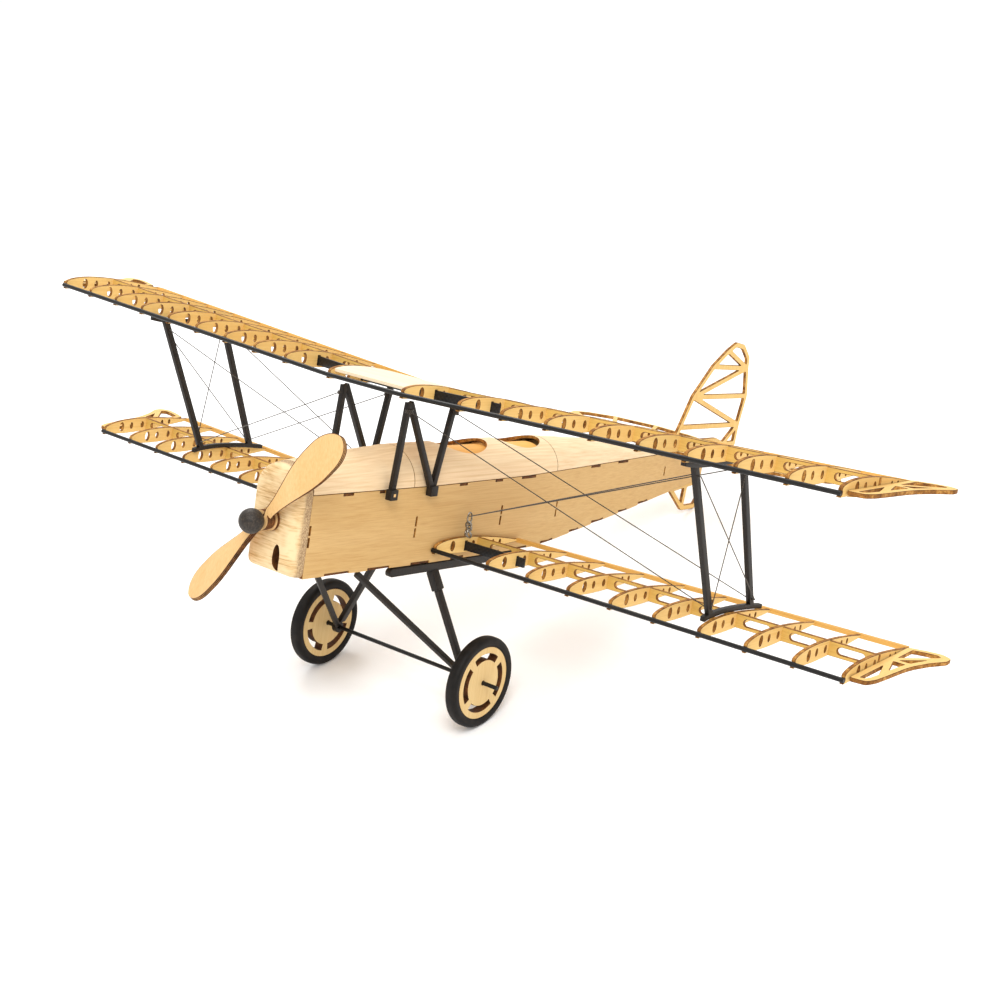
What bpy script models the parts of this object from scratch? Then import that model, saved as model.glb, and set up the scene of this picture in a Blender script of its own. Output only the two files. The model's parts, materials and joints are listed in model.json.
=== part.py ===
"""A laser-cut display biplane with a rubber motor, modelled piece by piece.

Sizes are in millimetres in the airframe's own frame: +X is the port side, the nose points
along -Y, and the origin is the leading edge of the upper wing at its middle. The last step
turns the airframe nose up until both tyres and the tail skid stand on z = 0, and puts the
origin at the bottom centre of the whole model. Meshes are made in metres.
"""

import math

import bmesh
import bpy
from mathutils import Matrix, Vector

MM = 0.001
CLEAR = 0.3  # gap left where two pieces touch
RUN = 0.1  # radial clearance of a turning piece on its shaft

# Sheet stock
PLY = 1.5  # ribs, spars, tail surfaces
SIDE_PLY = 1.4  # fuselage skin
BLACK_PLY = 2.0  # struts and gear
BALSA = 1.2  # decks

# Wings
SPAN = 405.0
CHORD = 54.6
TIP_BULGE = 17.1  # how far a tip frame reaches past its rib
BAYS = 8  # equal bays outboard of the wide root bay
ROOT_BAY = 24.7
CENTRE_HALF = 18.0  # middle to the upper centre rib
WING_GAP = 61.8  # upper leading edge down to the lower one
STAGGER = 35.6
UPPER_SWEEP, UPPER_DIHEDRAL = 0.072, 0.027
LOWER_SWEEP, LOWER_DIHEDRAL = 0.039, 0.006
UPPER_INCIDENCE, LOWER_INCIDENCE = 4.0, 1.5  # trailing edge below the leading edge at the root
UPPER_WASHOUT, LOWER_WASHOUT = 0.018, 0.026  # rise of the trailing edge per mm outwards
UPPER_TAPER, LOWER_TAPER = 0.0, 0.0004  # share of the chord lost per mm outwards
RIB_THICKNESS = 0.115  # share of the chord
RIB_CAMBER = 0.008  # share of the chord
RIB_NOSE = 1.4  # where the rib starts behind the leading-edge rod's axis
ROD = 1.7  # leading-edge rod diameter
ROD_DROP = 0.9  # rod axis below the rib's chord line
SPAR_AT = 26.5  # behind the leading edge
SPAR_HEIGHT = 5.2
SPAR_SLOT = (9.0, 2.4)
TRAIL_WIDTH, TRAIL_HEIGHT = 3.0, 1.7
JOINER_AT = 18.6  # carbon strip behind the leading edge
JOINER_HEIGHT, JOINER_THICKNESS = 3.6, 1.0
JOINER_STUB = 3.5  # past the second rib
TIP_BAR = 2.5
TIP_TILT = 0.026  # rise of a tip frame towards the trailing edge

# Fuselage: distance back, outer half width, top edge, bottom edge
FUSELAGE = (
    (-32.0, 12.0, -37.6, -67.8),
    (34.0, 14.4, -37.6, -67.8),
    (92.0, 14.4, -37.1, -67.8),
    (107.0, 13.7, -36.8, -67.8),
    (180.0, 8.3, -35.9, -59.4),
    (212.0, 5.2, -35.7, -55.7),
    (252.0, 1.9, -40.6, -51.1),
)
HALF_WIDTH = FUSELAGE[1][1]
# Deck ridge: distance back, height of the top
RIDGE = ((-32.0, -27.8), (0.0, -25.4), (20.0, -24.2), (66.0, -24.3), (113.0, -24.6), (150.0, -27.2), (196.0, -33.0), (211.0, -35.0))
DECK_JOINTS = (-32.0, 20.4, 113.0, 211.0)
FORMERS = {"former_firewall": -31.0, "former_cabin": 23.0, "former_mid": 76.5, "former_rear": 116.0, "former_tail": 205.0}
COCKPITS = ((60.0, 15.2, 9.4), (97.5, 13.6, 8.6))  # middle, half length, half width
NOSE_FRONT = -38.6

# Thrust line and propeller
THRUST_HEIGHT = -48.2
SHAFT = 1.4
PROP_RADIUS = 48.5
PROP_WAIST, PROP_CHORD = 4.4, 12.6
BLADE_PITCH = (27.0, 20.0)  # degrees at the shaft and at the tip
PROP_REST = 40.5  # degrees of the upper blade from upright, towards port
HUB_THICKNESS = 2.6
WASHER = 8.6
WASHER_THICKNESS = 1.1
SPINNER = 9.0
BUSH = 4.0
HOOK_AT = -25.6
PEG_AT = 187.0
PEG = 3.0
RUBBER = (2.4, 0.9)  # width, thickness of a strand

# Undercarriage
HUB = Vector((40.6, 43.1, -108.5))
TYRE_RADIUS, TYRE_WIDTH, TYRE_BEAD = 18.0, 5.0, 14.3
WHEEL_THICKNESS = 4.0
SLOT_RADII = (9.2, 11.7)
AXLE, AXLE_HALF = 1.6, 49.5
LEG_X = 33.2
LEG_BOSS = 4.6
RAIL = (13.0, 92.0, 3.2, 2.6)  # front end, rear end, height, width
RAIL_TOP = -68.3
REAR_LEG_AT = 39.5
FRONT_LEG_AT = -3.5
COLLAR = (4.4, 8.0)

# Struts: places behind the local leading edge
STRUT_FEET, STRUT_HEADS = (9.0, 39.8), (12.0, 44.4)
STRUT_WIDTH = 2.7
STRUT_PLATE = (4.6, 47.6, 1.8)  # front end, rear end, depth
STRUT_OUT = 129.4  # from the middle of the model
CABANE_FEET = (5.3, 28.4)
CABANE_TOPS = (7.4, 34.2)
CABANE_WIDTH = 2.2
FOOT_BLOCK = 4.0

# Tail
TAILPLANE_HALF, TAILPLANE_FRONT, TAILPLANE_REAR = 74.0, 214.0, 268.0
TAIL_BAR = 2.4
SKID_FRONT, SKID_LOW = 228.6, -65.1

# Rigging
THREAD = 0.4
THREAD_HOLE = 1.2
RING_AT = Vector((18.7, STAGGER + 15.1, 12.2 - WING_GAP))
CHAIN_WIRE = 0.55
RING_LONG = 2.3

BEECH_PLY = ("birch_ply", (0.80, 0.55, 0.26), 0.6, 0.0)
PALE_PLY = ("basswood_ply", (0.80, 0.62, 0.38), 0.6, 0.0)
PALE_BALSA = ("balsa", (0.86, 0.73, 0.50), 0.65, 0.0)
BLACK_STAIN = ("black_stained_ply", (0.035, 0.032, 0.030), 0.5, 0.0)
CARBON = ("carbon_rod", (0.025, 0.025, 0.027), 0.35, 0.0)
TYRE_RUBBER = ("tyre_rubber", (0.02, 0.02, 0.02), 0.6, 0.0)
STEEL = ("bright_steel", (0.62, 0.60, 0.57), 0.3, 1.0)
COTTON = ("dark_thread", (0.06, 0.05, 0.04), 0.8, 0.0)
BAND = ("tan_rubber", (0.55, 0.40, 0.20), 0.6, 0.0)
CHARCOAL = ("charcoal_paint", (0.03, 0.03, 0.032), 0.5, 0.0)

SIDES = {"port": 1, "starboard": -1}


# ---------------------------------------------------------------- helpers

def material(spec):
    name, colour, roughness, metallic = spec
    found = bpy.data.materials.get(name)
    if found:
        return found
    made = bpy.data.materials.new(name)
    made.use_nodes = True
    shader = made.node_tree.nodes["Principled BSDF"]
    shader.inputs["Base Color"].default_value = (*colour, 1.0)
    shader.inputs["Roughness"].default_value = roughness
    shader.inputs["Metallic"].default_value = metallic
    return made


def empty(name, location=(0, 0, 0), parent=None):
    made = bpy.data.objects.new(name, None)
    bpy.context.collection.objects.link(made)
    made.location = Vector(location) * MM
    made.parent = parent
    return made


def outward(bm):
    """Faces turned the same way round, with the outside of the solid outside."""
    bmesh.ops.recalc_face_normals(bm, faces=bm.faces)
    if bm.calc_volume(signed=True) < 0:
        bmesh.ops.reverse_faces(bm, faces=bm.faces)
    return bm


def add(name, bm, spec, parent, location=(0, 0, 0), smooth=False):
    """A finished piece: its mesh in millimetres about `location`, stored in metres."""
    bmesh.ops.remove_doubles(bm, verts=bm.verts, dist=1e-4)
    outward(bm)
    bmesh.ops.scale(bm, vec=(MM, MM, MM), verts=bm.verts)
    mesh = bpy.data.meshes.new(name)
    bm.to_mesh(mesh)
    bm.free()
    made = bpy.data.objects.new(name, mesh)
    bpy.context.collection.objects.link(made)
    mesh.materials.append(material(spec))
    if smooth:
        mesh.shade_smooth()
        mesh.set_sharp_from_angle(angle=math.radians(35))
    made.location = Vector(location) * MM
    made.parent = parent
    return made


def slab(loop, thickness):
    return loft([[(a, b, z) for a, b in loop] for z in (-thickness / 2, thickness / 2)])


def sheet(outline, thickness, holes=(), axes=None):
    """Flat stock cut to an outline with holes. axes names where its two directions and its thickness point."""
    bm = slab(outline, thickness)
    if holes:
        bm = cut(bm, joined([slab(hole, thickness * 1.5) for hole in holes]))
    if axes:
        bm.transform(Matrix(axes).transposed().to_4x4())
    return outward(bm)


# How a sheet lies: (first direction, second direction, thickness)
ALONG_YZ = ((0, 1, 0), (0, 0, 1), (1, 0, 0))
ALONG_XZ = ((1, 0, 0), (0, 0, 1), (0, 1, 0))
ALONG_XY = ((1, 0, 0), (0, 1, 0), (0, 0, 1))


def moved(bm, offset):
    bmesh.ops.translate(bm, vec=Vector(offset), verts=bm.verts)
    return bm


def joined(pieces):
    """Several loose shapes in one mesh, not yet fused."""
    whole = bmesh.new()
    for bm in pieces:
        mesh = bpy.data.meshes.new("part")
        bm.to_mesh(mesh)
        bm.free()
        whole.from_mesh(mesh)
        bpy.data.meshes.remove(mesh)
    return whole


def boolean(base, other, operation):
    holders = []
    for bm in (base, other):
        mesh = bpy.data.meshes.new("shape")
        bm.to_mesh(mesh)
        bm.free()
        holder = bpy.data.objects.new("shape", mesh)
        bpy.context.collection.objects.link(holder)
        holders.append(holder)
    modifier = holders[0].modifiers.new("cut", "BOOLEAN")
    modifier.operation = operation
    modifier.object = holders[1]
    modifier.solver = "EXACT"
    bpy.context.view_layer.update()
    result = bpy.data.meshes.new_from_object(holders[0].evaluated_get(bpy.context.evaluated_depsgraph_get()))
    bm = bmesh.new()
    bm.from_mesh(result)
    for holder in holders:
        mesh = holder.data
        bpy.data.objects.remove(holder)
        bpy.data.meshes.remove(mesh)
    bpy.data.meshes.remove(result)
    return bm


def fused(base, *others):
    for other in others:
        base = boolean(base, other, "UNION")
    return base


def cut(base, *others):
    for other in others:
        base = boolean(base, other, "DIFFERENCE")
    return base


def loft(rings):
    """A closed solid through rings of equal length, capped at both ends."""
    bm = bmesh.new()
    rows = [[bm.verts.new(point) for point in ring] for ring in rings]
    count = len(rows[0])
    for near, far in zip(rows, rows[1:]):
        for i in range(count):
            bm.faces.new((near[i], near[(i + 1) % count], far[(i + 1) % count], far[i]))
    bm.faces.new(rows[0])
    bm.faces.new(reversed(rows[-1]))
    return outward(bm)


def circle(radius, count, centre=(0.0, 0.0), turn=0.0, squash=1.0):
    """Points round a circle, or round an ellipse whose second axis is squashed."""
    return [
        (
            centre[0] + radius * math.cos(turn + math.tau * i / count),
            centre[1] + radius * squash * math.sin(turn + math.tau * i / count),
        )
        for i in range(count)
    ]


def rod(start, end, radius, sides=12):
    """A round bar between two points."""
    start, end = Vector(start), Vector(end)
    along = (end - start).normalized()
    across = along.orthogonal().normalized()
    third = along.cross(across)
    rings = [
        [point + across * a + third * b for a, b in circle(radius, sides)]
        for point in (start, end)
    ]
    return loft(rings)


def tube(start, end, outer, inner, sides=16):
    return cut(rod(start, end, outer, sides), rod(*past(start, end, 1.0), inner, sides))


def past(start, end, extra):
    """The same line, longer at both ends."""
    start, end = Vector(start), Vector(end)
    along = (end - start).normalized() * extra
    return start - along, end + along


def bar(start, end, width, depth, across):
    """A square-edged bar between two points; `across` is the direction of its width."""
    start, end = Vector(start), Vector(end)
    along = (end - start).normalized()
    wide = Vector(across) - along * along.dot(Vector(across))
    wide.normalize()
    deep = along.cross(wide)
    corners = ((1, 1), (-1, 1), (-1, -1), (1, -1))
    return loft(
        [[point + wide * a * width / 2 + deep * b * depth / 2 for a, b in corners] for point in (start, end)]
    )


def block(middle, size):
    bm = bmesh.new()
    bmesh.ops.create_cube(bm, size=1.0)
    bmesh.ops.scale(bm, vec=size, verts=bm.verts)
    return moved(bm, middle)


def turned_ring(profile, sides):
    """A profile of (radius, offset) turned about the X axis."""
    bm = bmesh.new()
    rows = []
    for i in range(sides):
        angle = math.tau * i / sides
        rows.append([bm.verts.new((x, r * math.cos(angle), r * math.sin(angle))) for r, x in profile])
    for i in range(sides):
        near, far = rows[i], rows[(i + 1) % sides]
        for j in range(len(profile)):
            k = (j + 1) % len(profile)
            bm.faces.new((near[j], near[k], far[k], far[j]))
    return outward(bm)


def wire_ring(centre, long_radius, short_radius, wire, long_axis, short_axis, sides=12):
    """A closed wire ring, round or oval."""
    long_axis, short_axis = Vector(long_axis).normalized(), Vector(short_axis).normalized()
    normal = long_axis.cross(short_axis)
    bm = bmesh.new()
    rows = []
    for i in range(sides):
        angle = math.tau * i / sides
        out = long_axis * math.cos(angle) + short_axis * math.sin(angle)
        middle = Vector(centre) + long_axis * long_radius * math.cos(angle) + short_axis * short_radius * math.sin(angle)
        rows.append([bm.verts.new(middle + out * a + normal * b) for a, b in circle(wire / 2, 6)])
    for i in range(sides):
        near, far = rows[i], rows[(i + 1) % sides]
        for j in range(6):
            bm.faces.new((near[j], near[(j + 1) % 6], far[(j + 1) % 6], far[j]))
    return outward(bm)


def inset(loop, distance):
    """A polygon moved inwards by a distance, or outwards by a negative one."""
    area = sum(a[0] * b[1] - b[0] * a[1] for a, b in zip(loop, loop[1:] + loop[:1])) / 2
    turn = 1 if area > 0 else -1
    result = []
    for i, here in enumerate(loop):
        before, after = Vector(loop[i - 1]), Vector(loop[(i + 1) % len(loop)])
        here = Vector(here)
        first = (here - before).normalized()
        second = (after - here).normalized()
        inward = [Vector((-d.y, d.x)) * turn for d in (first, second)]
        middle = (inward[0] + inward[1]).normalized()
        stretch = max(middle.dot(inward[0]), 0.12)
        result.append(tuple(here + middle * distance / stretch))
    return result


def truss(rim, cells, bar_width, thickness, axes):
    """A flat frame: a rim on its centre line, and the cells between its bars."""
    outline = inset(rim, -bar_width / 2)
    return sheet(outline, thickness, [inset(cell, bar_width / 2) for cell in cells], axes)


def between(table, at, column):
    """A value read off a table of stations by straight lines."""
    if at <= table[0][0]:
        return table[0][column]
    for near, far in zip(table, table[1:]):
        if at <= far[0]:
            share = (at - near[0]) / (far[0] - near[0])
            return near[column] + share * (far[column] - near[column])
    return table[-1][column]


def half_width(at):
    return between(FUSELAGE, at, 1)


def top_edge(at):
    return between(FUSELAGE, at, 2)


def bottom_edge(at):
    return between(FUSELAGE, at, 3)


def ridge(at):
    return between(RIDGE, at, 1)


# ---------------------------------------------------------------- wings

class Wing:
    """One half wing: where its root is and how its leading edge runs."""

    def __init__(self, side, upper):
        self.side = side
        self.upper = upper
        self.root = CENTRE_HALF if upper else HALF_WIDTH + CLEAR + PLY / 2
        self.front = 0.0 if upper else STAGGER
        self.height = 0.0 if upper else -WING_GAP
        self.sweep = UPPER_SWEEP if upper else LOWER_SWEEP
        self.dihedral = UPPER_DIHEDRAL if upper else LOWER_DIHEDRAL
        self.incidence = UPPER_INCIDENCE if upper else LOWER_INCIDENCE
        self.washout = UPPER_WASHOUT if upper else LOWER_WASHOUT
        self.taper = UPPER_TAPER if upper else LOWER_TAPER
        self.tip = SPAN / 2 - TIP_BULGE - self.root
        pitch = (self.tip - ROOT_BAY) / BAYS
        self.ribs = [0.0] + [ROOT_BAY + pitch * i for i in range(BAYS + 1)]

    def location(self):
        return (self.side * self.root, self.front, self.height)

    def place(self, out, back, up):
        """From straight wing coordinates to the swept, raised and twisted half wing, about its own root."""
        return Vector((
            self.side * out,
            back * (1 - self.taper * out) + self.sweep * out,
            up + self.dihedral * out + (self.washout * out - self.incidence) * back / CHORD,
        ))

    def slanted(self, bm):
        for vert in bm.verts:
            vert.co = self.place(*vert.co)
        return outward(bm)

    def point(self, out, back, up):
        """The airframe position of a place on this half wing."""
        return Vector(self.location()) + self.place(out, back, up)


def rib_heights(back):
    """Top and bottom of a rib at a distance behind the leading edge."""
    s = min(max(back / CHORD, 0.0), 1.0)
    half = 5 * RIB_THICKNESS * CHORD * (
        0.2969 * math.sqrt(s) - 0.126 * s - 0.3516 * s**2 + 0.2843 * s**3 - 0.1015 * s**4
    )
    camber = 4 * RIB_CAMBER * CHORD * s * (1 - s)
    least = TRAIL_HEIGHT / 2 - 0.25
    return camber + max(half, least), camber - max(half, least)


def rib_outline():
    tail = CHORD - TRAIL_WIDTH / 2
    stations = [RIB_NOSE + (tail - RIB_NOSE) * share for share in (0.0, 0.06, 0.17, 0.32, 0.5, 0.68, 0.85, 1.0)]
    top = [(s, rib_heights(s)[0]) for s in stations]
    bottom = [(s, rib_heights(s)[1]) for s in reversed(stations)]
    return top + bottom


def rib(with_joiner):
    holes = [circle(1.5, 8, (11.0, 0.3), squash=1.15), circle(1.0, 6, (32.0, 0.4))]
    if with_joiner:
        slot = JOINER_HEIGHT / 2 + CLEAR
        wide = JOINER_THICKNESS / 2 + CLEAR
        holes.append([(JOINER_AT - wide, -slot), (JOINER_AT + wide, -slot), (JOINER_AT + wide, slot), (JOINER_AT - wide, slot)])
    else:
        holes.append(circle(1.0, 6, (16.6, 0.4)))
    return sheet(rib_outline(), PLY, holes, ALONG_YZ)


def spar(wing):
    length = wing.tip
    holes = []
    for near, far in list(zip(wing.ribs, wing.ribs[1:])):
        middle = (near + far) / 2
        long, high = SPAR_SLOT[0] / 2 - SPAR_SLOT[1] / 2, SPAR_SLOT[1] / 2
        left = [(middle - long + a, b) for a, b in circle(high, 8, turn=math.pi / 2)[:5]]
        right = [(middle + long + a, b) for a, b in circle(high, 8, turn=-math.pi / 2)[:5]]
        holes.append(left + right)
    low, high = -SPAR_HEIGHT / 2, SPAR_HEIGHT / 2
    outline = [(0, low), (length, low), (length, high), (0, high)]
    bm = sheet(outline, PLY, holes, ALONG_XZ)
    top, bottom = rib_heights(SPAR_AT)
    return moved(bm, (0, SPAR_AT, (top + bottom) / 2))


def trailing_strip(wing):
    return bar((0, CHORD - TRAIL_WIDTH / 2 + 0.4, 0), (wing.tip, CHORD - TRAIL_WIDTH / 2 + 0.4, 0), TRAIL_WIDTH, TRAIL_HEIGHT, (0, 1, 0))


def wing_frame(wing):
    """Ribs fused to their spar and trailing strip, as glued up."""
    ribs = joined([moved(rib(i < 2), (out, 0, 0)) for i, out in enumerate(wing.ribs)])
    rails = joined([spar(wing), trailing_strip(wing)])
    return wing.slanted(fused(ribs, rails))


def tip_frame(wing):
    """The bowed end frame: its rim and bars on their centre lines, out from the last rib and back from the nose."""
    inner = PLY / 2 + CLEAR + TIP_BAR / 2
    far = TIP_BULGE - TIP_BAR / 2
    knot = (inner, CHORD * 0.605)
    corner = (far - 0.3, CHORD * 0.90)
    front = [(inner, 4.4), (far * 0.37, 4.9), (far * 0.45, 8.4), (far * 0.49, 14.2)]
    middle = [(far * 0.56, CHORD * 0.50), (far * 0.62, CHORD * 0.60)]
    bend = (far * 0.78, CHORD * 0.745)
    rear = [(far * 0.80, CHORD * 0.955), (far * 0.50, CHORD * 0.945), (inner, CHORD * 0.915)]
    rim = [*front, *middle, bend, (far, CHORD * 0.87), (far - 0.2, CHORD * 0.925), *rear]
    cells = [
        [*front, knot],
        [knot, front[3], *middle],
        [knot, middle[1], bend, corner],
        [knot, corner, *rear],
    ]
    bm = truss(rim, cells, TIP_BAR, PLY, ALONG_XY)
    for vert in bm.verts:
        vert.co.x += wing.tip
        vert.co.z += TIP_TILT * vert.co.y - ROD_DROP
    return wing.slanted(bm)


def joiner(upper, wings):
    """The carbon strip that runs through the middle and the first ribs of both halves."""
    rings = []
    reach = [wings[1].ribs[1] + PLY / 2 + JOINER_STUB]
    for side_wing, out in ((wings[-1], reach[0]), (wings[-1], 0.0), (wings[1], 0.0), (wings[1], reach[0])):
        middle = side_wing.point(out, JOINER_AT, 0)
        y, z = JOINER_THICKNESS / 2, JOINER_HEIGHT / 2
        rings.append([middle + Vector((0, a * y, b * z)) for a, b in ((1, 1), (-1, 1), (-1, -1), (1, -1))])
    return loft(rings)


def leading_rod(points):
    rings = []
    for point in points:
        rings.append([Vector(point) + Vector((0, a, b)) for a, b in circle(ROD / 2, 10)])
    return loft(rings)


def centre_sheet(wing):
    """The curved top skin between the two centre ribs."""
    half = CENTRE_HALF - PLY / 2 - CLEAR
    stations = [2.2, 5.0, 10.0, 16.0, 24.0, 32.0, 41.0, CHORD - TRAIL_WIDTH]
    upper = [(s, rib_heights(s)[0]) for s in stations]
    upper = [(s, z - UPPER_INCIDENCE * s / CHORD) for s, z in upper]
    lower = [(s, z - 1.1) for s, z in reversed(upper)]
    return sheet(upper + lower, 2 * half, axes=ALONG_YZ)


# ---------------------------------------------------------------- fuselage

def side_panel(side):
    rings = []
    for at, half, top, low in FUSELAGE:
        outer, inner = side * half, side * (half - SIDE_PLY)
        rings.append([(outer, at, top), (outer, at, low), (inner, at, low), (inner, at, top)])
    middle = (side * HALF_WIDTH, STAGGER + JOINER_AT, -WING_GAP - LOWER_INCIDENCE * JOINER_AT / CHORD)
    slot = block(middle, (6.0, JOINER_THICKNESS + 2 * CLEAR, JOINER_HEIGHT + 2 * CLEAR))
    return cut(loft(rings), slot)


def bottom_panel():
    rings = []
    for at, half, _, low in FUSELAGE[:-1]:
        inner = half - SIDE_PLY - CLEAR
        rings.append([(inner, at, low + SIDE_PLY), (inner, at, low), (-inner, at, low), (-inner, at, low + SIDE_PLY)])
    return loft(rings)


def arch(at, shrink, count=10):
    """Points over the deck from port to starboard at one station."""
    half = half_width(at) - shrink
    base = top_edge(at) + CLEAR
    rise = ridge(at) - base - shrink
    return [(half * math.cos(math.pi * i / count), at, base + rise * math.sin(math.pi * i / count)) for i in range(count + 1)]


def deck(front, rear):
    stations = [front + CLEAR / 2, *[row[0] for row in sorted(set(RIDGE + FUSELAGE)) if front + 1 < row[0] < rear - 1], rear - CLEAR / 2]
    rings = []
    for at in stations:
        thin = min(BALSA, (ridge(at) - top_edge(at)) * 0.4)
        rings.append(arch(at, 0.0) + list(reversed(arch(at, thin))))
    return loft(rings)


def cockpit_deck():
    body = deck(DECK_JOINTS[1], DECK_JOINTS[2])
    cutters = []
    for middle, long, wide in COCKPITS:
        loop = circle(wide, 20, (0.0, middle), squash=long / wide)
        cutters.append(moved(sheet(loop, 14.0), (0, 0, ridge(middle) + 0.6)))
    return cut(body, *cutters)


def former(at, hole):
    """A cross frame between the side panels, open in the middle for the rubber motor."""
    half = half_width(at + PLY / 2) - SIDE_PLY - CLEAR
    half = min(half, half_width(at - PLY / 2) - SIDE_PLY - CLEAR)
    low = max(bottom_edge(at - PLY), bottom_edge(at + PLY)) + SIDE_PLY + CLEAR
    top = top_edge(at) - 0.2
    outline = [(half, low), (half, top)]
    if at < DECK_JOINTS[3]:
        rise = min(ridge(at - PLY), ridge(at + PLY)) - BALSA - CLEAR - top
        outline += [((half - BALSA) * math.cos(math.pi * i / 8), top + rise * math.sin(math.pi * i / 8)) for i in range(9)]
    outline += [(-half, top), (-half, low)]
    return moved(sheet(outline, PLY, [circle(hole, 10, (0.0, THRUST_HEIGHT))], ALONG_XZ), (0, at, 0))


def nose_ring(at, shrink):
    half = half_width(at)
    low, edge, top = bottom_edge(at), top_edge(at), ridge(at)
    points = [(half * math.cos(math.pi * i / 10), edge + (top - edge) * math.sin(math.pi * i / 10)) for i in range(11)]
    points += [(-half, low + 2.4), (-half + 0.7, low + 0.7), (-half + 2.4, low)]
    points += [(half - 2.4, low), (half - 0.7, low + 0.7), (half, low + 2.4)]
    middle = (top + low) / 2
    wide, high = 1 - shrink / half, 1 - shrink / ((top - low) / 2)
    return [(x * wide, at, middle + (z - middle) * high) for x, z in points]


def nose_block():
    rear = FUSELAGE[0][0] - CLEAR
    depth = NOSE_FRONT - rear
    steps = ((0.0, 0.0), (0.35, 0.35), (0.66, 1.2), (0.88, 2.8), (1.0, 5.2))
    body = loft([nose_ring(rear + depth * share, shrink) for share, shrink in steps])
    intake = moved(sheet(circle(1.7, 12, squash=2.9), 5.0, axes=ALONG_XZ), (4.2, NOSE_FRONT + 1.6, -61.4))
    bore = rod((0, NOSE_FRONT - 2, THRUST_HEIGHT), (0, rear + 2, THRUST_HEIGHT), BUSH / 2 + CLEAR, 12)
    return cut(body, bore, intake)


# ---------------------------------------------------------------- propeller and motor

BUSH_FACE = NOSE_FRONT - CLEAR - WASHER_THICKNESS
WASHER_REAR = BUSH_FACE - CLEAR
HUB_REAR = WASHER_REAR - WASHER_THICKNESS - CLEAR
SPINNER_AT = HUB_REAR - HUB_THICKNESS - CLEAR - SPINNER / 2 + 0.5


def blade_section(share):
    """Chord and thickness of the blade at a share of its length from the shaft."""
    swell = min(max((share - 0.06) / 0.62, 0.0), 1.0)
    chord = PROP_WAIST + (PROP_CHORD - PROP_WAIST) * swell * swell * (3 - 2 * swell)
    if share > 0.74:
        chord *= math.sqrt(max(1 - ((share - 0.74) / 0.262) ** 2.4, 0.0))
    return chord, 2.6 - 1.2 * share


def propeller():
    """A two-bladed airscrew about its shaft, lofted from tip to tip, with a hub disc."""
    shares = (0.0, 0.1, 0.22, 0.36, 0.5, 0.64, 0.78, 0.88, 0.95, 1.0)
    rings = []
    for share in [-s for s in reversed(shares[1:])] + list(shares):
        chord, thick = blade_section(abs(share))
        side = 1 if share >= 0 else -1
        angle = math.radians(BLADE_PITCH[0] + (BLADE_PITCH[1] - BLADE_PITCH[0]) * abs(share))
        if share == 0:
            angle = math.pi / 2
            chord, thick = HUB_THICKNESS - 0.4, PROP_WAIST
        along = Vector((side * math.cos(angle), math.sin(angle), 0))
        normal = Vector((-math.sin(angle), side * math.cos(angle), 0))
        middle = Vector((0, 0, share * PROP_RADIUS))
        shape = ((0.5, 0.0), (0.34, 0.5), (-0.34, 0.5), (-0.5, 0.0), (-0.34, -0.5), (0.34, -0.5))
        rings.append([middle + along * chord * a + normal * thick * b for a, b in shape])
    hub = rod((0, -HUB_THICKNESS / 2, 0), (0, HUB_THICKNESS / 2, 0), 3.4, 16)
    bore = rod((0, -5, 0), (0, 5, 0), SHAFT / 2 + CLEAR, 10)
    bm = cut(fused(loft(rings), hub), bore)
    bm.transform(Matrix.Rotation(math.radians(PROP_REST), 4, "Y"))
    return bm


def prop_shaft():
    """Wire from the spinner to the hook ring that pulls on the rubber."""
    ring = wire_ring((0, HOOK_AT, 0), 2.6, 2.6, SHAFT, (1, 0, 0), (0, 1, 0), 14)
    wire = rod((0, SPINNER_AT + 0.4, 0), (0, HOOK_AT - 2.4, 0), SHAFT / 2, 10)
    return fused(wire, ring)


def rubber_band():
    """A loop of strip rubber from the hook ring round the peg."""
    half = PEG / 2 + CLEAR + RUBBER[1]
    front = HOOK_AT - RUBBER[1] / 2
    outer = [(front, -half), (PEG_AT, -half)]
    outer += [(PEG_AT + half * math.sin(math.pi * i / 6), -half * math.cos(math.pi * i / 6)) for i in range(1, 6)]
    outer += [(PEG_AT, half), (front, half)]
    return sheet(outer, RUBBER[0], [inset(outer, RUBBER[1])], ALONG_YZ)


# ---------------------------------------------------------------- undercarriage

def tyre():
    half = TYRE_WIDTH / 2
    tread = TYRE_RADIUS
    inner = TYRE_BEAD + CLEAR / 2
    profile = ((inner, -half * 0.8), (tread - 1.3, -half), (tread - 0.2, -half * 0.55), (tread, 0.0),
               (tread - 0.2, half * 0.55), (tread - 1.3, half), (inner, half * 0.8))
    return turned_ring(profile, 32)


def wheel(turn):
    holes = [circle(AXLE / 2 + RUN, 16)]
    inner, outer = SLOT_RADII
    for quarter in range(4):
        start = turn + quarter * math.pi / 2 + math.radians(9)
        end = start + math.radians(72)
        angles = [start + (end - start) * i / 6 for i in range(7)]
        holes.append([(outer * math.cos(a), outer * math.sin(a)) for a in angles]
                     + [(inner * math.cos(a), inner * math.sin(a)) for a in reversed(angles)])
    return sheet(circle(TYRE_BEAD - CLEAR / 2, 32), WHEEL_THICKNESS, holes, ALONG_YZ)


def boss_at(side):
    return Vector((side * LEG_X, HUB.y, HUB.z))


def front_leg(side):
    boss = boss_at(side)
    top = Vector((side * (half_width(FRONT_LEG_AT) - 1.2), FRONT_LEG_AT, bottom_edge(FRONT_LEG_AT) - CLEAR))
    foot = boss + (top - boss).normalized() * 1.0
    leg = bar(foot, top, 2.2, 1.8, (0, 1, 0))
    drum = rod(boss - Vector((1.2, 0, 0)), boss + Vector((1.2, 0, 0)), LEG_BOSS / 2, 12)
    hole = rod(boss - Vector((3, 0, 0)), boss + Vector((3, 0, 0)), AXLE / 2 + CLEAR, 12)
    ground = bar(top + Vector((0, -4, 3)), top + Vector((0, 4, 3)), 8.0, 6.0, (1, 0, 0))
    return cut(fused(leg, drum), hole, ground)


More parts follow.
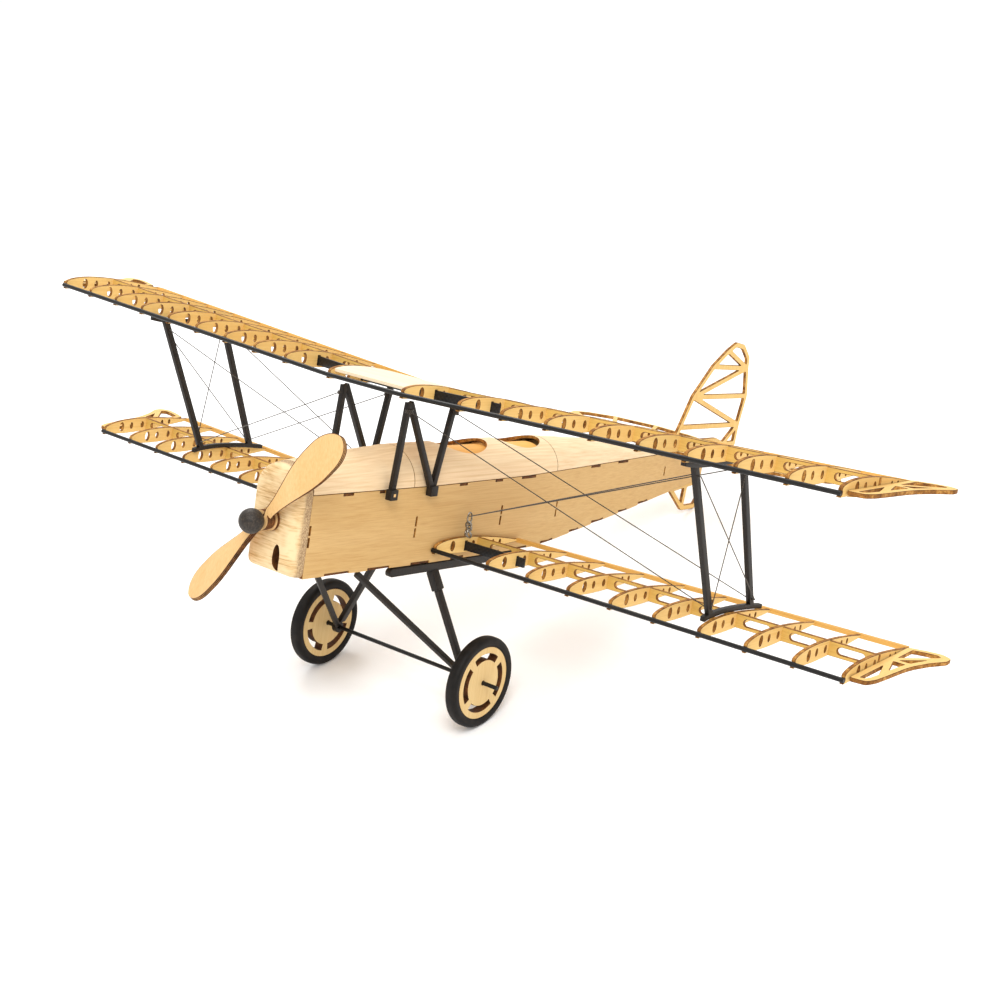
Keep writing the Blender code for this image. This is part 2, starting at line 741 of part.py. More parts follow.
def rear_leg(side):
    boss = boss_at(side)
    top = Vector((side * (HALF_WIDTH - RAIL[3] / 2), REAR_LEG_AT, RAIL_TOP - RAIL[2] - CLEAR))
    along = (top - boss).normalized()
    foot = boss + along * (LEG_BOSS / 2 + CLEAR + 0.9)
    leg = bar(foot, top, 2.9, 2.0, (0, 1, 0))
    collar = bar(top - along * COLLAR[1], top + along * 0.1, COLLAR[0], COLLAR[0] - 1, (0, 1, 0))
    ground = bar(top + Vector((0, -5, 4)), top + Vector((0, 5, 4)), 12.0, 8.0, (1, 0, 0))
    return cut(fused(leg, collar), ground)


def gear_rail(side):
    front, rear, height, width = RAIL
    centre = RAIL_TOP - height / 2
    nose = [(front + height / 2 - height / 2 * math.sin(a), centre + height / 2 * math.cos(a)) for a in (0, math.pi / 4, math.pi / 2, 3 * math.pi / 4, math.pi)]
    bm = sheet(nose + [(rear, RAIL_TOP - height), (rear, RAIL_TOP)], width, axes=ALONG_YZ)
    return moved(bm, (side * (HALF_WIDTH - width / 2), 0, 0))


# ---------------------------------------------------------------- struts

def plate_point(wing, back, inside):
    """A point of a side frame's plate, so far in from the face that lies along the wing's ribs."""
    top, bottom = rib_heights(back)
    up = bottom - CLEAR - inside if wing.upper else top + CLEAR + inside
    place = wing.point(STRUT_OUT - wing.root, back, up)
    place.x = wing.side * STRUT_OUT
    return place


def strut_lines(lower, upper):
    """Foot and head of the front and the rear strut."""
    return [
        (plate_point(lower, foot, STRUT_PLATE[2] / 2), plate_point(upper, head, STRUT_PLATE[2] / 2))
        for foot, head in zip(STRUT_FEET, STRUT_HEADS)
    ]


def strut_eyes(foot, head):
    """Where the rigging passes through a strut, near its foot and near its head."""
    along = (head - foot).normalized()
    return foot + along * 3.4, head - along * 4.2


def strut_frame(lower, upper):
    """The black side frame between the wings: two curved plates and two struts."""
    front, rear, depth = STRUT_PLATE
    stations = [front + (rear - front) * i / 6 for i in range(7)]
    plates = []
    for wing in (lower, upper):
        near = [plate_point(wing, back, 0.0) for back in stations]
        far = [plate_point(wing, back, depth) for back in reversed(stations)]
        loop = [(p.y, p.z) for p in near + far]
        plates.append(moved(sheet(loop, BLACK_PLY, axes=ALONG_YZ), (lower.side * STRUT_OUT, 0, 0)))
    struts, holes = [], []
    for foot, head in strut_lines(lower, upper):
        struts.append(bar(foot, head, STRUT_WIDTH, BLACK_PLY - 0.1, (0, 1, 0)))
        for place in strut_eyes(foot, head):
            holes.append(rod(place - Vector((3, 0, 0)), place + Vector((3, 0, 0)), THREAD_HOLE / 2, 8))
    return cut(fused(plates[0], *struts, plates[1]), *holes)


def cabane_line(side, back, top):
    """A point on the plane of the cabane frame, at its foot or at its top."""
    if top:
        x = CENTRE_HALF - PLY / 2 - CLEAR - BLACK_PLY / 2
        return Vector((side * x, back, rib_heights(back)[1] - CLEAR - 1.0 - UPPER_INCIDENCE * back / CHORD))
    x = HALF_WIDTH + CLEAR + BLACK_PLY / 2
    return Vector((side * x, back, top_edge(back) - FOOT_BLOCK / 4))


def cabane(side):
    feet = [cabane_line(side, back, False) for back in CABANE_FEET]
    tops = [cabane_line(side, back, True) for back in CABANE_TOPS]
    runs = ((feet[0], tops[0], 0.0), (feet[1], tops[0] + Vector((0, 0.9, 0)), 0.12), (feet[1], tops[1], 0.06))
    struts = [bar(a, b, CABANE_WIDTH, BLACK_PLY - thin, (0, 1, 0)) for a, b, thin in runs]
    blocks = []
    for foot in feet:
        middle = foot + Vector((side * 0.4, 0, 0))
        blocks.append(bar(middle - Vector((0, FOOT_BLOCK / 2, 0)), middle + Vector((0, FOOT_BLOCK / 2, 0)), BLACK_PLY + 0.8, FOOT_BLOCK, (1, 0, 0)))
    return fused(struts[0], struts[1], struts[2], *blocks)


# ---------------------------------------------------------------- tail

def tailplane_rim():
    """Centre line of the tailplane and elevator frame on the port side, from the middle round to the rudder gap."""
    half, front, rear = TAILPLANE_HALF, TAILPLANE_FRONT, TAILPLANE_REAR
    return [
        (0.0, front), (half * 0.30, front + 3.5), (half * 0.62, front + 11.0), (half * 0.86, front + 20.0),
        (half * 0.97, front + 28.0), (half, front + 36.0), (half * 0.96, rear - 12.0), (half * 0.80, rear - 4.0),
        (half * 0.5, rear), (half * 0.22, rear - 2.0), (half * 0.12, rear - 5.0), (half * 0.075, rear - 12.0),
    ]


def tailplane():
    port = tailplane_rim()
    starboard = [(-x, y) for x, y in reversed(port[1:])]
    rim = port + starboard
    hinge = TAILPLANE_REAR - 25.0
    cells = []
    for side in (1, -1):
        p = [(side * x, y) for x, y in port]
        knots = [(side * TAILPLANE_HALF * share, hinge) for share in (0.075, 0.34, 0.62, 0.9)]
        cells += [
            [(side * TAIL_BAR * 0.75, p[0][1]), p[1], knots[1], knots[0]],
            [p[1], p[2], knots[2], knots[1]],
            [p[2], p[3], p[4], knots[3], knots[2]],
            [knots[0], knots[1], p[8], p[9], p[10], p[11]],
            [knots[1], knots[2], p[7], p[8]],
            [knots[2], knots[3], p[5], p[6], p[7]],
        ]
    return truss(rim, cells, TAIL_BAR, PLY, ALONG_XY)


def fin_rudder():
    """Fin and rudder cut from one sheet: rim on its centre line, from the foot of the fin round to the rudder post."""
    foot = top_edge(TAILPLANE_FRONT) + 2 * CLEAR + PLY + TAIL_BAR / 2
    rim = [
        (223.0, foot), (227.2, -25.2), (234.6, -10.8), (248.6, 3.6), (260.2, 11.2), (266.6, 14.3),
        (273.6, 13.2), (280.0, 7.6), (280.6, 2.6), (284.3, -11.2), (281.4, -25.6), (281.0, -35.0),
        (269.8, -35.0), (262.0, foot),
    ]
    base, low, high = rim[0], rim[10], rim[8]
    cells = [
        [base, rim[1], low, rim[12], rim[13]],
        [rim[12], low, rim[11]],
        [rim[1], rim[2], low],
        [rim[2], rim[9], low],
        [rim[2], high, rim[9]],
        [rim[2], rim[3], high],
        [rim[3], rim[4], high],
        [*rim[4:9]],
    ]
    return truss(rim, cells, TAIL_BAR, PLY, ALONG_YZ)


def skid_rim():
    """Centre line of the skid frame, from its front end under the fuselage round to its rear end."""
    depth = CLEAR + TAIL_BAR / 2
    front, knot, rear = (SKID_FRONT + offset for offset in (0.0, 13.3, 22.4))
    return [
        (front, bottom_edge(front) - depth), (SKID_FRONT + 12.7, SKID_LOW), (SKID_FRONT + 23.7, SKID_LOW + 0.2),
        (SKID_FRONT + 27.4, SKID_LOW + 5.2), (SKID_FRONT + 25.4, SKID_LOW + 10.6), (rear, bottom_edge(rear) - depth),
        (knot, bottom_edge(knot) - depth),
    ]


def tail_skid():
    """The skid frame under the tail, whose lowest corner stands on the ground."""
    rim = skid_rim()
    cells = [[rim[0], rim[1], rim[6]], [rim[6], *rim[1:6]]]
    return truss(rim, cells, TAIL_BAR, PLY, ALONG_YZ)


# ---------------------------------------------------------------- rigging

def thread_route(side, eyes):
    """One thread a side: cabane, front foot, rear head, ring, front head, rear foot, cabane."""
    (front_foot, front_head), (rear_foot, rear_head) = eyes
    face = BLACK_PLY / 2 + THREAD / 2 + 0.15
    outer = Vector((side * face, 0, 0))
    outer_two = Vector((side * (face + 2 * THREAD), 0, 0))
    ring = Vector((side * RING_AT.x, RING_AT.y, RING_AT.z))
    tops = [cabane_line(side, back, True) + Vector((side * 0.2, 0, -3.2)) for back in CABANE_TOPS]
    clear = Vector((side * (BLACK_PLY / 2 + THREAD + 0.5), 0, 0))
    turn = THREAD * 1.1
    return [
        tops[0] + clear,
        front_foot - outer,
        front_foot + outer,
        rear_head + outer,
        rear_head - outer,
        ring + Vector((side * turn, turn, turn * 0.4)),
        ring + Vector((-side * turn * 0.4, turn * 0.6, 0)),
        ring + Vector((-side * turn * 0.4, -turn * 0.6, 0)),
        ring + Vector((side * turn, -turn, turn * 0.4)),
        front_head - outer,
        front_head + outer_two,
        rear_foot + outer_two,
        rear_foot - outer,
        tops[1] + clear,
    ]


def rigging_thread(name, points, parent):
    curve = bpy.data.curves.new(name, "CURVE")
    curve.dimensions = "3D"
    curve.bevel_depth = THREAD / 2 * MM
    curve.bevel_resolution = 2
    curve.use_fill_caps = True
    spline = curve.splines.new("POLY")
    spline.points.add(len(points) - 1)
    for point, place in zip(spline.points, points):
        point.co = (*(place * MM), 1)
    curve.materials.append(material(COTTON))
    made = bpy.data.objects.new(name, curve)
    bpy.context.collection.objects.link(made)
    made.parent = parent
    return made


def tension_chain(side):
    """Ring and links that pull the rigging tight from the wing root."""
    ring = Vector((side * RING_AT.x, RING_AT.y, RING_AT.z))
    anchor = Vector((side * (HALF_WIDTH + CLEAR + PLY + 1.6), RING_AT.y + 1.4, -WING_GAP + rib_heights(RING_AT.y - STAGGER)[0] + 1.3))
    hang = (anchor - ring).normalized()
    link = 1.3
    at = RING_LONG - 1.6
    rings = [wire_ring(ring + hang * at, RING_LONG, 1.3, CHAIN_WIRE, hang, (0, 1, 0))]
    at += RING_LONG
    for across in ((1, 0, 0.3), (0, 1, 0)):
        rings.append(wire_ring(ring + hang * (at + link), link, link - 0.1, CHAIN_WIRE, hang, across, 10))
        at += 2 * link
    return fused(*rings)


# ---------------------------------------------------------------- assembly

def ground_pitch():
    """Angle that brings the tyres and the skid's lowest corner onto one level."""
    hub = Vector((HUB.y, HUB.z))
    reaches = [Vector(corner) - hub for corner in inset(skid_rim(), -TAIL_BAR / 2)]
    return min(math.atan2(reach.y, reach.x) + math.asin(TYRE_RADIUS / reach.length) for reach in reaches)


def build():
    for old in list(bpy.data.objects):
        bpy.data.objects.remove(old)
    airframe = empty("airframe_frame")

    wings = {(side, upper): Wing(side, upper) for side in SIDES.values() for upper in (True, False)}
    for name, side in SIDES.items():
        for level, upper in (("upper", True), ("lower", False)):
            wing = wings[side, upper]
            add(f"{level}_wing_frame_{name}", wing_frame(wing), BEECH_PLY, airframe, wing.location())
            add(f"{level}_wing_tip_{name}", tip_frame(wing), BEECH_PLY, airframe, wing.location())
        low = wings[side, False]
        rod_ends = [low.point(out, 0, -ROD_DROP) for out in (-PLY / 2, low.tip + PLY / 2)]
        add(f"lower_leading_rod_{name}", leading_rod(rod_ends), CARBON, airframe, smooth=True)

        add(f"side_panel_{name}", side_panel(side), PALE_PLY, airframe)
        add(f"gear_rail_{name}", gear_rail(side), BLACK_STAIN, airframe)
        add(f"gear_leg_front_{name}", front_leg(side), BLACK_STAIN, airframe)
        add(f"gear_leg_rear_{name}", rear_leg(side), BLACK_STAIN, airframe)
        high = wings[side, True]
        eyes = [strut_eyes(foot, head) for foot, head in strut_lines(low, high)]
        add(f"interplane_frame_{name}", strut_frame(low, high), BLACK_STAIN, airframe)
        add(f"cabane_frame_{name}", cabane(side), BLACK_STAIN, airframe)
        rigging_thread(f"rigging_thread_{name}", thread_route(side, eyes), airframe)
        add(f"tension_chain_{name}", tension_chain(side), STEEL, airframe)

        axis = empty(f"wheel_axis_{name}", (side * HUB.x, HUB.y, HUB.z), airframe)
        add(f"tyre_{name}", tyre(), TYRE_RUBBER, axis, smooth=True)
        add(f"wheel_disc_{name}", wheel(math.radians(45 if side > 0 else 0)), BEECH_PLY, axis)

    ends = [wings[side, True].point(wings[side, True].tip + PLY / 2, 0, -ROD_DROP) for side in (-1, 1)]
    middles = [wings[side, True].point(0, 0, -ROD_DROP) for side in (-1, 1)]
    add("upper_leading_rod", leading_rod([ends[0], middles[0], middles[1], ends[1]]), CARBON, airframe, smooth=True)
    for level, upper in (("upper", True), ("lower", False)):
        pair = {side: wings[side, upper] for side in (1, -1)}
        add(f"{level}_wing_joiner", joiner(upper, pair), CARBON, airframe)
    add("centre_section_sheet", centre_sheet(wings[1, True]), PALE_BALSA, airframe)

    add("nose_block", nose_block(), PALE_BALSA, airframe)
    add("bottom_panel", bottom_panel(), PALE_PLY, airframe)
    for name, at in FORMERS.items():
        hole = BUSH / 2 + CLEAR if name == "former_firewall" else min(6.0, half_width(at) * 0.45)
        add(name, former(at, hole), PALE_PLY, airframe)
    add("deck_front", deck(DECK_JOINTS[0], DECK_JOINTS[1]), PALE_BALSA, airframe)
    add("deck_cockpit", cockpit_deck(), PALE_BALSA, airframe)
    add("deck_rear", deck(DECK_JOINTS[2], DECK_JOINTS[3]), PALE_BALSA, airframe)

    thrust = (0, 0, THRUST_HEIGHT)
    bush = fused(
        rod((0, BUSH_FACE, 0), (0, NOSE_FRONT - CLEAR, 0), WASHER / 2, 20),
        rod((0, NOSE_FRONT - CLEAR - 0.5, 0), (0, FORMERS["former_firewall"] + PLY, 0), BUSH / 2, 12),
    )
    bush = cut(bush, rod((0, BUSH_FACE - 2, 0), (0, 0, 0), SHAFT / 2 + RUN, 12))
    add("bearing_bush", bush, BEECH_PLY, airframe, thrust)
    half = half_width(PEG_AT) - SIDE_PLY - CLEAR - 0.1
    add("rubber_peg", rod((-half, 0, 0), (half, 0, 0), PEG / 2, 12), PALE_BALSA, airframe, (0, PEG_AT, THRUST_HEIGHT))
    add("rubber_band", rubber_band(), BAND, airframe, thrust)

    spin = empty("propeller_axis", thrust, airframe)
    add("propeller", propeller(), BEECH_PLY, spin, (0, HUB_REAR - HUB_THICKNESS / 2, 0))
    washer = tube((0, WASHER_REAR - WASHER_THICKNESS, 0), (0, WASHER_REAR, 0), WASHER / 2 - 0.8, SHAFT / 2 + RUN)
    add("thrust_washer", washer, BEECH_PLY, spin)
    ball = bmesh.new()
    bmesh.ops.create_uvsphere(ball, u_segments=20, v_segments=12, radius=SPINNER / 2)
    socket = rod((0, -0.4, 0), (0, SPINNER, 0), SHAFT / 2 + CLEAR, 10)
    face = bar((0, SPINNER / 2 - 0.5, -5), (0, SPINNER / 2 - 0.5, 5), 10.0, 1.0, (1, 0, 0))
    add("spinner_ball", cut(ball, moved(face, (0, 0.5, 0)), socket), CHARCOAL, spin, (0, SPINNER_AT, 0), smooth=True)
    add("prop_shaft", prop_shaft(), STEEL, spin)

    add("axle", rod((-AXLE_HALF, 0, 0), (AXLE_HALF, 0, 0), AXLE / 2, 12), CARBON, airframe, (0, HUB.y, HUB.z), smooth=True)

    add("fin_rudder", fin_rudder(), BEECH_PLY, airframe)
    add("tail_skid", tail_skid(), BEECH_PLY, airframe)
    plane_height = top_edge(TAILPLANE_FRONT) + CLEAR + PLY / 2
    add("tailplane", tailplane(), BEECH_PLY, airframe, (0, 0, plane_height))
    stand_on_ground(airframe)


def stand_on_ground(airframe):
    """Turn the airframe onto its wheels and skid, and centre it over the origin."""
    airframe.rotation_euler = (-ground_pitch(), 0, 0)
    bpy.context.view_layer.update()
    low, high = Vector((1e9,) * 3), Vector((-1e9,) * 3)
    for piece in bpy.data.objects:
        if piece.type == "EMPTY":
            continue
        for corner in piece.data.vertices if piece.type == "MESH" else []:
            place = piece.matrix_world @ corner.co
            low = Vector(map(min, low, place))
            high = Vector(map(max, high, place))
    airframe.location = (-(low.x + high.x) / 2, -(low.y + high.y) / 2, -low.z)
    bpy.context.view_layer.update()


build()
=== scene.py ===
"""Finish work for a laser-cut rubber-powered biplane: wood, wire, thread and rubber around its fixed frame.

Lengths are millimetres in the airframe's own frame (+X to port, nose along -Y, origin at the middle of the
upper wing's leading edge). One matrix, read off the frame's joints, stands that airframe on the ground.
"""

import json
import math

import bmesh
import bpy
from mathutils import Matrix, Vector


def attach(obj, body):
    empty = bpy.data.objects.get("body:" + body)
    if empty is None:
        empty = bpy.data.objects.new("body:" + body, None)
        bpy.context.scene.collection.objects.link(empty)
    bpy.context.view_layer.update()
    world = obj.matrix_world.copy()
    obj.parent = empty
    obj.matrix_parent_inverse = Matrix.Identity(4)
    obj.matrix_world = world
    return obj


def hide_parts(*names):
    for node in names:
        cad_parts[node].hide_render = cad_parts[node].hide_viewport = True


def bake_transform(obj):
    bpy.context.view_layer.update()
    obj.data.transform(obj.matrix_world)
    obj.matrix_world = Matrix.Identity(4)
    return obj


bl_info = {
    "name": "Laser-cut biplane finish",
    "version": (1, 0, 0),
    "blender": (4, 5, 0),
    "location": "3D View > Sidebar > Biplane",
    "description": "Builds the ribs, skins, struts, wheels and rigging of a laser-cut display biplane",
    "category": "Add Mesh",
}

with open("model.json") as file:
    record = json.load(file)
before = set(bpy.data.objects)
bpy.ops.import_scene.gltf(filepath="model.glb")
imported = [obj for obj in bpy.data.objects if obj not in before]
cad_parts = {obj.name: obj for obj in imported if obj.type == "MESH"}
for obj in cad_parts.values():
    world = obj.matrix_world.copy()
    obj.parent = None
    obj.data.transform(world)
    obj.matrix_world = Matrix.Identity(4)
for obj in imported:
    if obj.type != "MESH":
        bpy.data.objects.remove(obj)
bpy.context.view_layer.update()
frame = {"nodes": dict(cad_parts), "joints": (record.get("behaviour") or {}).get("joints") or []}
MM = 0.001
ROOT_BODY = "airframe"
SIDES = {"port": 1, "starboard": -1}

# ------------------------------------------------------------------ the airframe's place

HUB = Vector((40.6, 43.1, -108.5))
THRUST_HEIGHT = -48.2
JOINTS = {joint["name"]: joint for joint in frame["joints"]}
NOSE_UP = math.asin(-JOINTS["propeller_spin"]["axis"][2])
TURN = Matrix.Rotation(-NOSE_UP, 4, "X")
STAND = Matrix.Translation(Vector(JOINTS["wheel_port_spin"]["pos_m"]) - TURN @ (HUB * MM)) @ TURN

# ------------------------------------------------------------------ sizes shared with the frame

CLEAR = 0.3
SPAN, CHORD, TIP_BULGE = 405.0, 54.6, 17.1
CENTRE_HALF, ROOT_BAY, BAYS = 18.0, 24.7, 8
WING_GAP, STAGGER = 61.8, 35.6
PLY, BALSA, SIDE_PLY, BLACK_PLY = 1.5, 1.2, 1.4, 2.0
RIB_THICKNESS, RIB_CAMBER = 0.115, 0.008
ROD, ROD_DROP = 1.7, 0.9
SPAR_AT, SPAR_HEIGHT = 26.5, 5.2
JOINER_AT, JOINER_HEIGHT, JOINER_THICKNESS, JOINER_STUB = 18.6, 3.6, 1.0, 3.5
TRAIL_WIDTH, TRAIL_HEIGHT = 3.0, 1.7
TIP_BAR, TIP_TILT = 2.5, 0.026
# Distance back, outer half width, top edge, bottom edge of the fuselage sides
FUSELAGE = (
    (-32.0, 12.0, -37.6, -67.8),
    (34.0, 14.4, -37.6, -67.8),
    (92.0, 14.4, -37.1, -67.8),
    (107.0, 13.7, -36.8, -67.8),
    (180.0, 8.3, -35.9, -59.4),
    (212.0, 5.2, -35.7, -55.7),
    (252.0, 1.9, -40.6, -51.1),
)
HALF_WIDTH = FUSELAGE[1][1]
RIDGE = (
    (-32.0, -27.8), (0.0, -25.4), (20.0, -24.2), (66.0, -24.3),
    (113.0, -24.6), (150.0, -27.2), (196.0, -33.0), (211.0, -35.0),
)
DECK_JOINTS = (-32.0, 20.4, 113.0, 211.0)
COCKPITS = ((60.0, 15.2, 9.4), (97.5, 13.6, 8.6))
NOSE_FRONT = -38.6
PROP_RADIUS, PROP_REST, HUB_THICKNESS = 48.5, 40.5, 2.6
PROP_WAIST, PROP_CHORD, BLADE_PITCH = 4.4, 12.6, (27.0, 20.0)
WASHER, WASHER_THICKNESS, SPINNER, BUSH, SHAFT = 8.6, 1.1, 9.0, 4.0, 1.4
HOOK_AT, HOOK_RADIUS, PEG_AT, PEG = -25.6, 2.6, 187.0, 3.0
STRIP_WIDE, STRIP_THICK = 2.4, 0.9
TYRE_WIDTH, TYRE_BEAD, WHEEL_THICKNESS = 5.0, 14.3, 4.0
SLOT_RADII = (9.2, 11.7)
AXLE, AXLE_HALF, LEG_X, LEG_BOSS = 1.6, 49.5, 33.2, 4.6
RAIL, RAIL_TOP = (13.0, 92.0, 3.2, 2.6), -68.3
STRUT_FEET, STRUT_HEADS, STRUT_WIDTH = (9.0, 39.8), (12.0, 44.4), 2.7
STRUT_PLATE, STRUT_OUT = (4.6, 47.6, 1.8), 129.4
CABANE_FEET, CABANE_TOPS, CABANE_WIDTH, FOOT_BLOCK = (5.3, 28.4), (7.4, 34.2), 2.2, 4.0
TAILPLANE_HALF, TAILPLANE_FRONT, TAILPLANE_REAR, TAIL_BAR = 74.0, 214.0, 268.0, 2.4
SKID_FRONT, SKID_LOW = 228.6, -65.1
THREAD = 0.4
RING_AT = Vector((18.7, STAGGER + 15.1, 12.2 - WING_GAP))
RING_LONG = 2.3

BUSH_FACE = NOSE_FRONT - CLEAR - WASHER_THICKNESS
WASHER_REAR = BUSH_FACE - CLEAR
HUB_REAR = WASHER_REAR - WASHER_THICKNESS - CLEAR
HUB_MIDDLE = HUB_REAR - HUB_THICKNESS / 2
SPINNER_AT = HUB_REAR - HUB_THICKNESS - CLEAR - SPINNER / 2 + 0.5

# A sheet's first direction, second direction and thickness
ALONG_YZ = ((0, 1, 0), (0, 0, 1), (1, 0, 0))
ALONG_XZ = ((1, 0, 0), (0, 0, 1), (0, 1, 0))
ALONG_XY = ((1, 0, 0), (0, 1, 0), (0, 0, 1))
BOX_CORNERS = ((1, 1), (-1, 1), (-1, -1), (1, -1))


# ------------------------------------------------------------------ settings

def hex_setting(name, description, default):
    return bpy.props.StringProperty(name=name, description=description + ", sRGB hex", default=default)


class BiplaneWoodSettings(bpy.types.PropertyGroup):
    ply_face: hex_setting("Ply face", "Sawn face of the birch ply", "E6C17A")
    ply_grain: hex_setting("Ply grain", "Darker grain lines of the birch ply", "D2A354")
    burnt_edge: hex_setting("Burnt edge", "Laser-browned cut edge", "9C6828")
    skin_face: hex_setting("Side skin", "Basswood ply of the fuselage sides", "CEA970")
    balsa_face: hex_setting("Balsa sheet", "Bent balsa of the decks", "E8CBA4")
    bevel: bpy.props.FloatProperty(
        name="Edge softness", description="Width of the worn corner on cut sheet",
        default=0.14 * MM, unit="LENGTH")


class BiplaneStageSettings(bpy.types.PropertyGroup):
    floor_tone: hex_setting("Floor", "Paper floor", "FFFFFF")
    lens: bpy.props.FloatProperty(name="Lens", description="Focal length on a 36 mm sensor", default=62.56)
    key_light: bpy.props.FloatProperty(
        name="Key light", description="Power of the big soft light", default=9.0, unit="POWER")


def wood():
    return bpy.context.scene.biplane_wood


# ------------------------------------------------------------------ materials

NOISE, RAMP, MIX = "ShaderNodeTexNoise", "ShaderNodeValToRGB", "ShaderNodeMix"
MIX_SHARE, MIX_FIRST, MIX_SECOND, MIX_COLOUR = 0, 6, 7, 2


def colour(hex_code, alpha=1.0):
    """An sRGB hex value as linear RGBA."""
    values = [int(hex_code[i:i + 2], 16) / 255 for i in (0, 2, 4)]
    return (*[v / 12.92 if v <= 0.04045 else ((v + 0.055) / 1.055) ** 2.4 for v in values], alpha)


def node(tree, kind, links=(), out=0, stops=(), **settings):
    """Adds a node and gives back one of its outputs.

    Settings name its properties or inputs, links are (socket or value, input), stops fill a colour ramp.
    """
    made = tree.nodes.new(kind)
    for name, value in settings.items():
        label = name.replace("_", " ").title()
        if label in made.inputs:
            made.inputs[label].default_value = value
        else:
            setattr(made, name, value)
    for source, target in links:
        if isinstance(source, bpy.types.NodeSocket):
            tree.links.new(source, made.inputs[target])
        else:
            made.inputs[target].default_value = source
    if stops:
        elements = made.color_ramp.elements
        while len(elements) < len(stops):
            elements.new(0.5)
        for element, (place, tone) in zip(elements, stops):
            element.position = place
            element.color = colour(tone)
    return made.outputs[out]


def new_material(name, roughness, specular=0.5, metallic=0.0, coat=0.0, sheen=0.0):
    """A named material with its constant finish on the shader itself."""
    made = bpy.data.materials.new(name)
    made.use_nodes = True
    shader = made.node_tree.nodes["Principled BSDF"]
    shader.inputs["Roughness"].default_value = roughness
    shader.inputs["Specular IOR Level"].default_value = specular
    shader.inputs["Metallic"].default_value = metallic
    shader.inputs["Coat Weight"].default_value = coat
    shader.inputs["Sheen Weight"].default_value = sheen
    return made, made.node_tree, shader


def grain_space(tree, stretch):
    """The airframe's own millimetres, squeezed along the grain."""
    place = node(tree, "ShaderNodeTexCoord", out="Object")
    return node(tree, "ShaderNodeMapping", [(place, "Vector")], vector_type="TEXTURE",
                location=STAND.translation, rotation=STAND.to_euler(), scale=[MM / s for s in stretch])


def shade(tree, shader, tone, relief=None, strength=0.0, depth=0.05):
    """Gives the shader its tone, and a relief of `depth` millimetres."""
    tree.links.new(tone, shader.inputs["Base Color"])
    if relief is not None:
        normal = node(tree, "ShaderNodeBump", [(relief, "Height")], strength=strength, distance=depth * MM)
        tree.links.new(normal, shader.inputs["Normal"])


def wood_material(name, light, dark, patches, grain, line_mm, contrast=0.55, fibre=0.12):
    """Sawn wood: fibre lines `line_mm` apart drawn out along one axis, over slow changes of tone."""
    made, tree, shader = new_material(name, 0.62, 0.35)
    along = [0.022 if axis == grain else 1.0 for axis in "XYZ"]
    lines = node(tree, NOISE, [(grain_space(tree, [s / line_mm for s in along]), "Vector")],
                 scale=1.0, detail=5.0, roughness=0.62)
    slow = node(tree, NOISE, [(grain_space(tree, [s * 0.11 for s in along]), "Vector")], scale=1.0,
                detail=2.0)
    base = node(tree, RAMP, [(lines, "Fac")], stops=((0.5 - contrast / 2, dark), (0.5 + contrast / 4, light)))
    tint = node(tree, RAMP, [(slow, "Fac")], stops=((0.35, patches), (0.62, light)))
    tone = node(tree, MIX, [(0.4, MIX_SHARE), (base, MIX_FIRST), (tint, MIX_SECOND)], MIX_COLOUR,
                data_type="RGBA")
    shade(tree, shader, tone, lines, fibre, 0.08)
    return made


def burnt_material(name, deep, warm, light):
    """Laser-cut edge: charred brown streaks across the thickness with lighter, hardly touched stretches."""
    made, tree, shader = new_material(name, 0.7, 0.25)
    patches = node(tree, NOISE, [(grain_space(tree, (0.35, 0.35, 0.35)), "Vector")],
                   scale=1.0, detail=3.0, roughness=0.6)
    streaks = node(tree, NOISE, [(grain_space(tree, (2.2, 2.2, 2.2)), "Vector")], scale=1.0, detail=2.0)
    tone = node(tree, RAMP, [(patches, "Fac")], stops=((0.3, deep), (0.5, warm), (0.7, light)))
    fine = node(tree, RAMP, [(streaks, "Fac")], stops=((0.3, "7A4A1C"), (0.6, "FFFFFF")))
    charred = node(tree, MIX, [(0.45, MIX_SHARE), (tone, MIX_FIRST), (fine, MIX_SECOND)], MIX_COLOUR,
                   data_type="RGBA", blend_type="MULTIPLY")
    shade(tree, shader, charred, streaks, 0.2)
    return made


def grained_material(name, finish, stretch, detail, stops, relief=(), gloss=(), coarse=0.5):
    """One grain pattern gives the tone, the relief and, where it varies, the gloss."""
    made, tree, shader = new_material(name, *finish)
    grain = node(tree, NOISE, [(grain_space(tree, stretch), "Vector")], scale=1.0, detail=detail,
                 roughness=coarse)
    tone = node(tree, RAMP, [(grain, "Fac")], stops=stops)
    shade(tree, shader, tone, *((grain, *relief) if relief else ()))
    if gloss:
        rough = node(tree, "ShaderNodeMapRange", [(grain, "Value")], to_min=gloss[0], to_max=gloss[1])
        tree.links.new(rough, shader.inputs["Roughness"])
    return made


def carbon_twill_material():
    """Woven carbon strip: a check about 0.9 mm wide stands for the tows, under thin resin."""
    made, tree, shader = new_material("carbon_twill", 0.4, 0.3, coat=0.08)
    weave = node(tree, "ShaderNodeTexChecker", [(grain_space(tree, (1.1, 1.1, 1.1)), "Vector")],
                 scale=1.0, color1=colour("060606"), color2=colour("1A1A1C"))
    grit = node(tree, NOISE, [(grain_space(tree, (4.0, 4.0, 4.0)), "Vector")], scale=1.0, detail=2.0)
    dust = node(tree, RAMP, [(grit, "Fac")], stops=((0.3, "050505"), (0.7, "1E1E20")))
    tone = node(tree, MIX, [(0.35, MIX_SHARE), (weave, MIX_FIRST), (dust, MIX_SECOND)], MIX_COLOUR,
                data_type="RGBA")
    shade(tree, shader, tone, weave.node.outputs["Fac"], 0.2, 0.04)
    return made


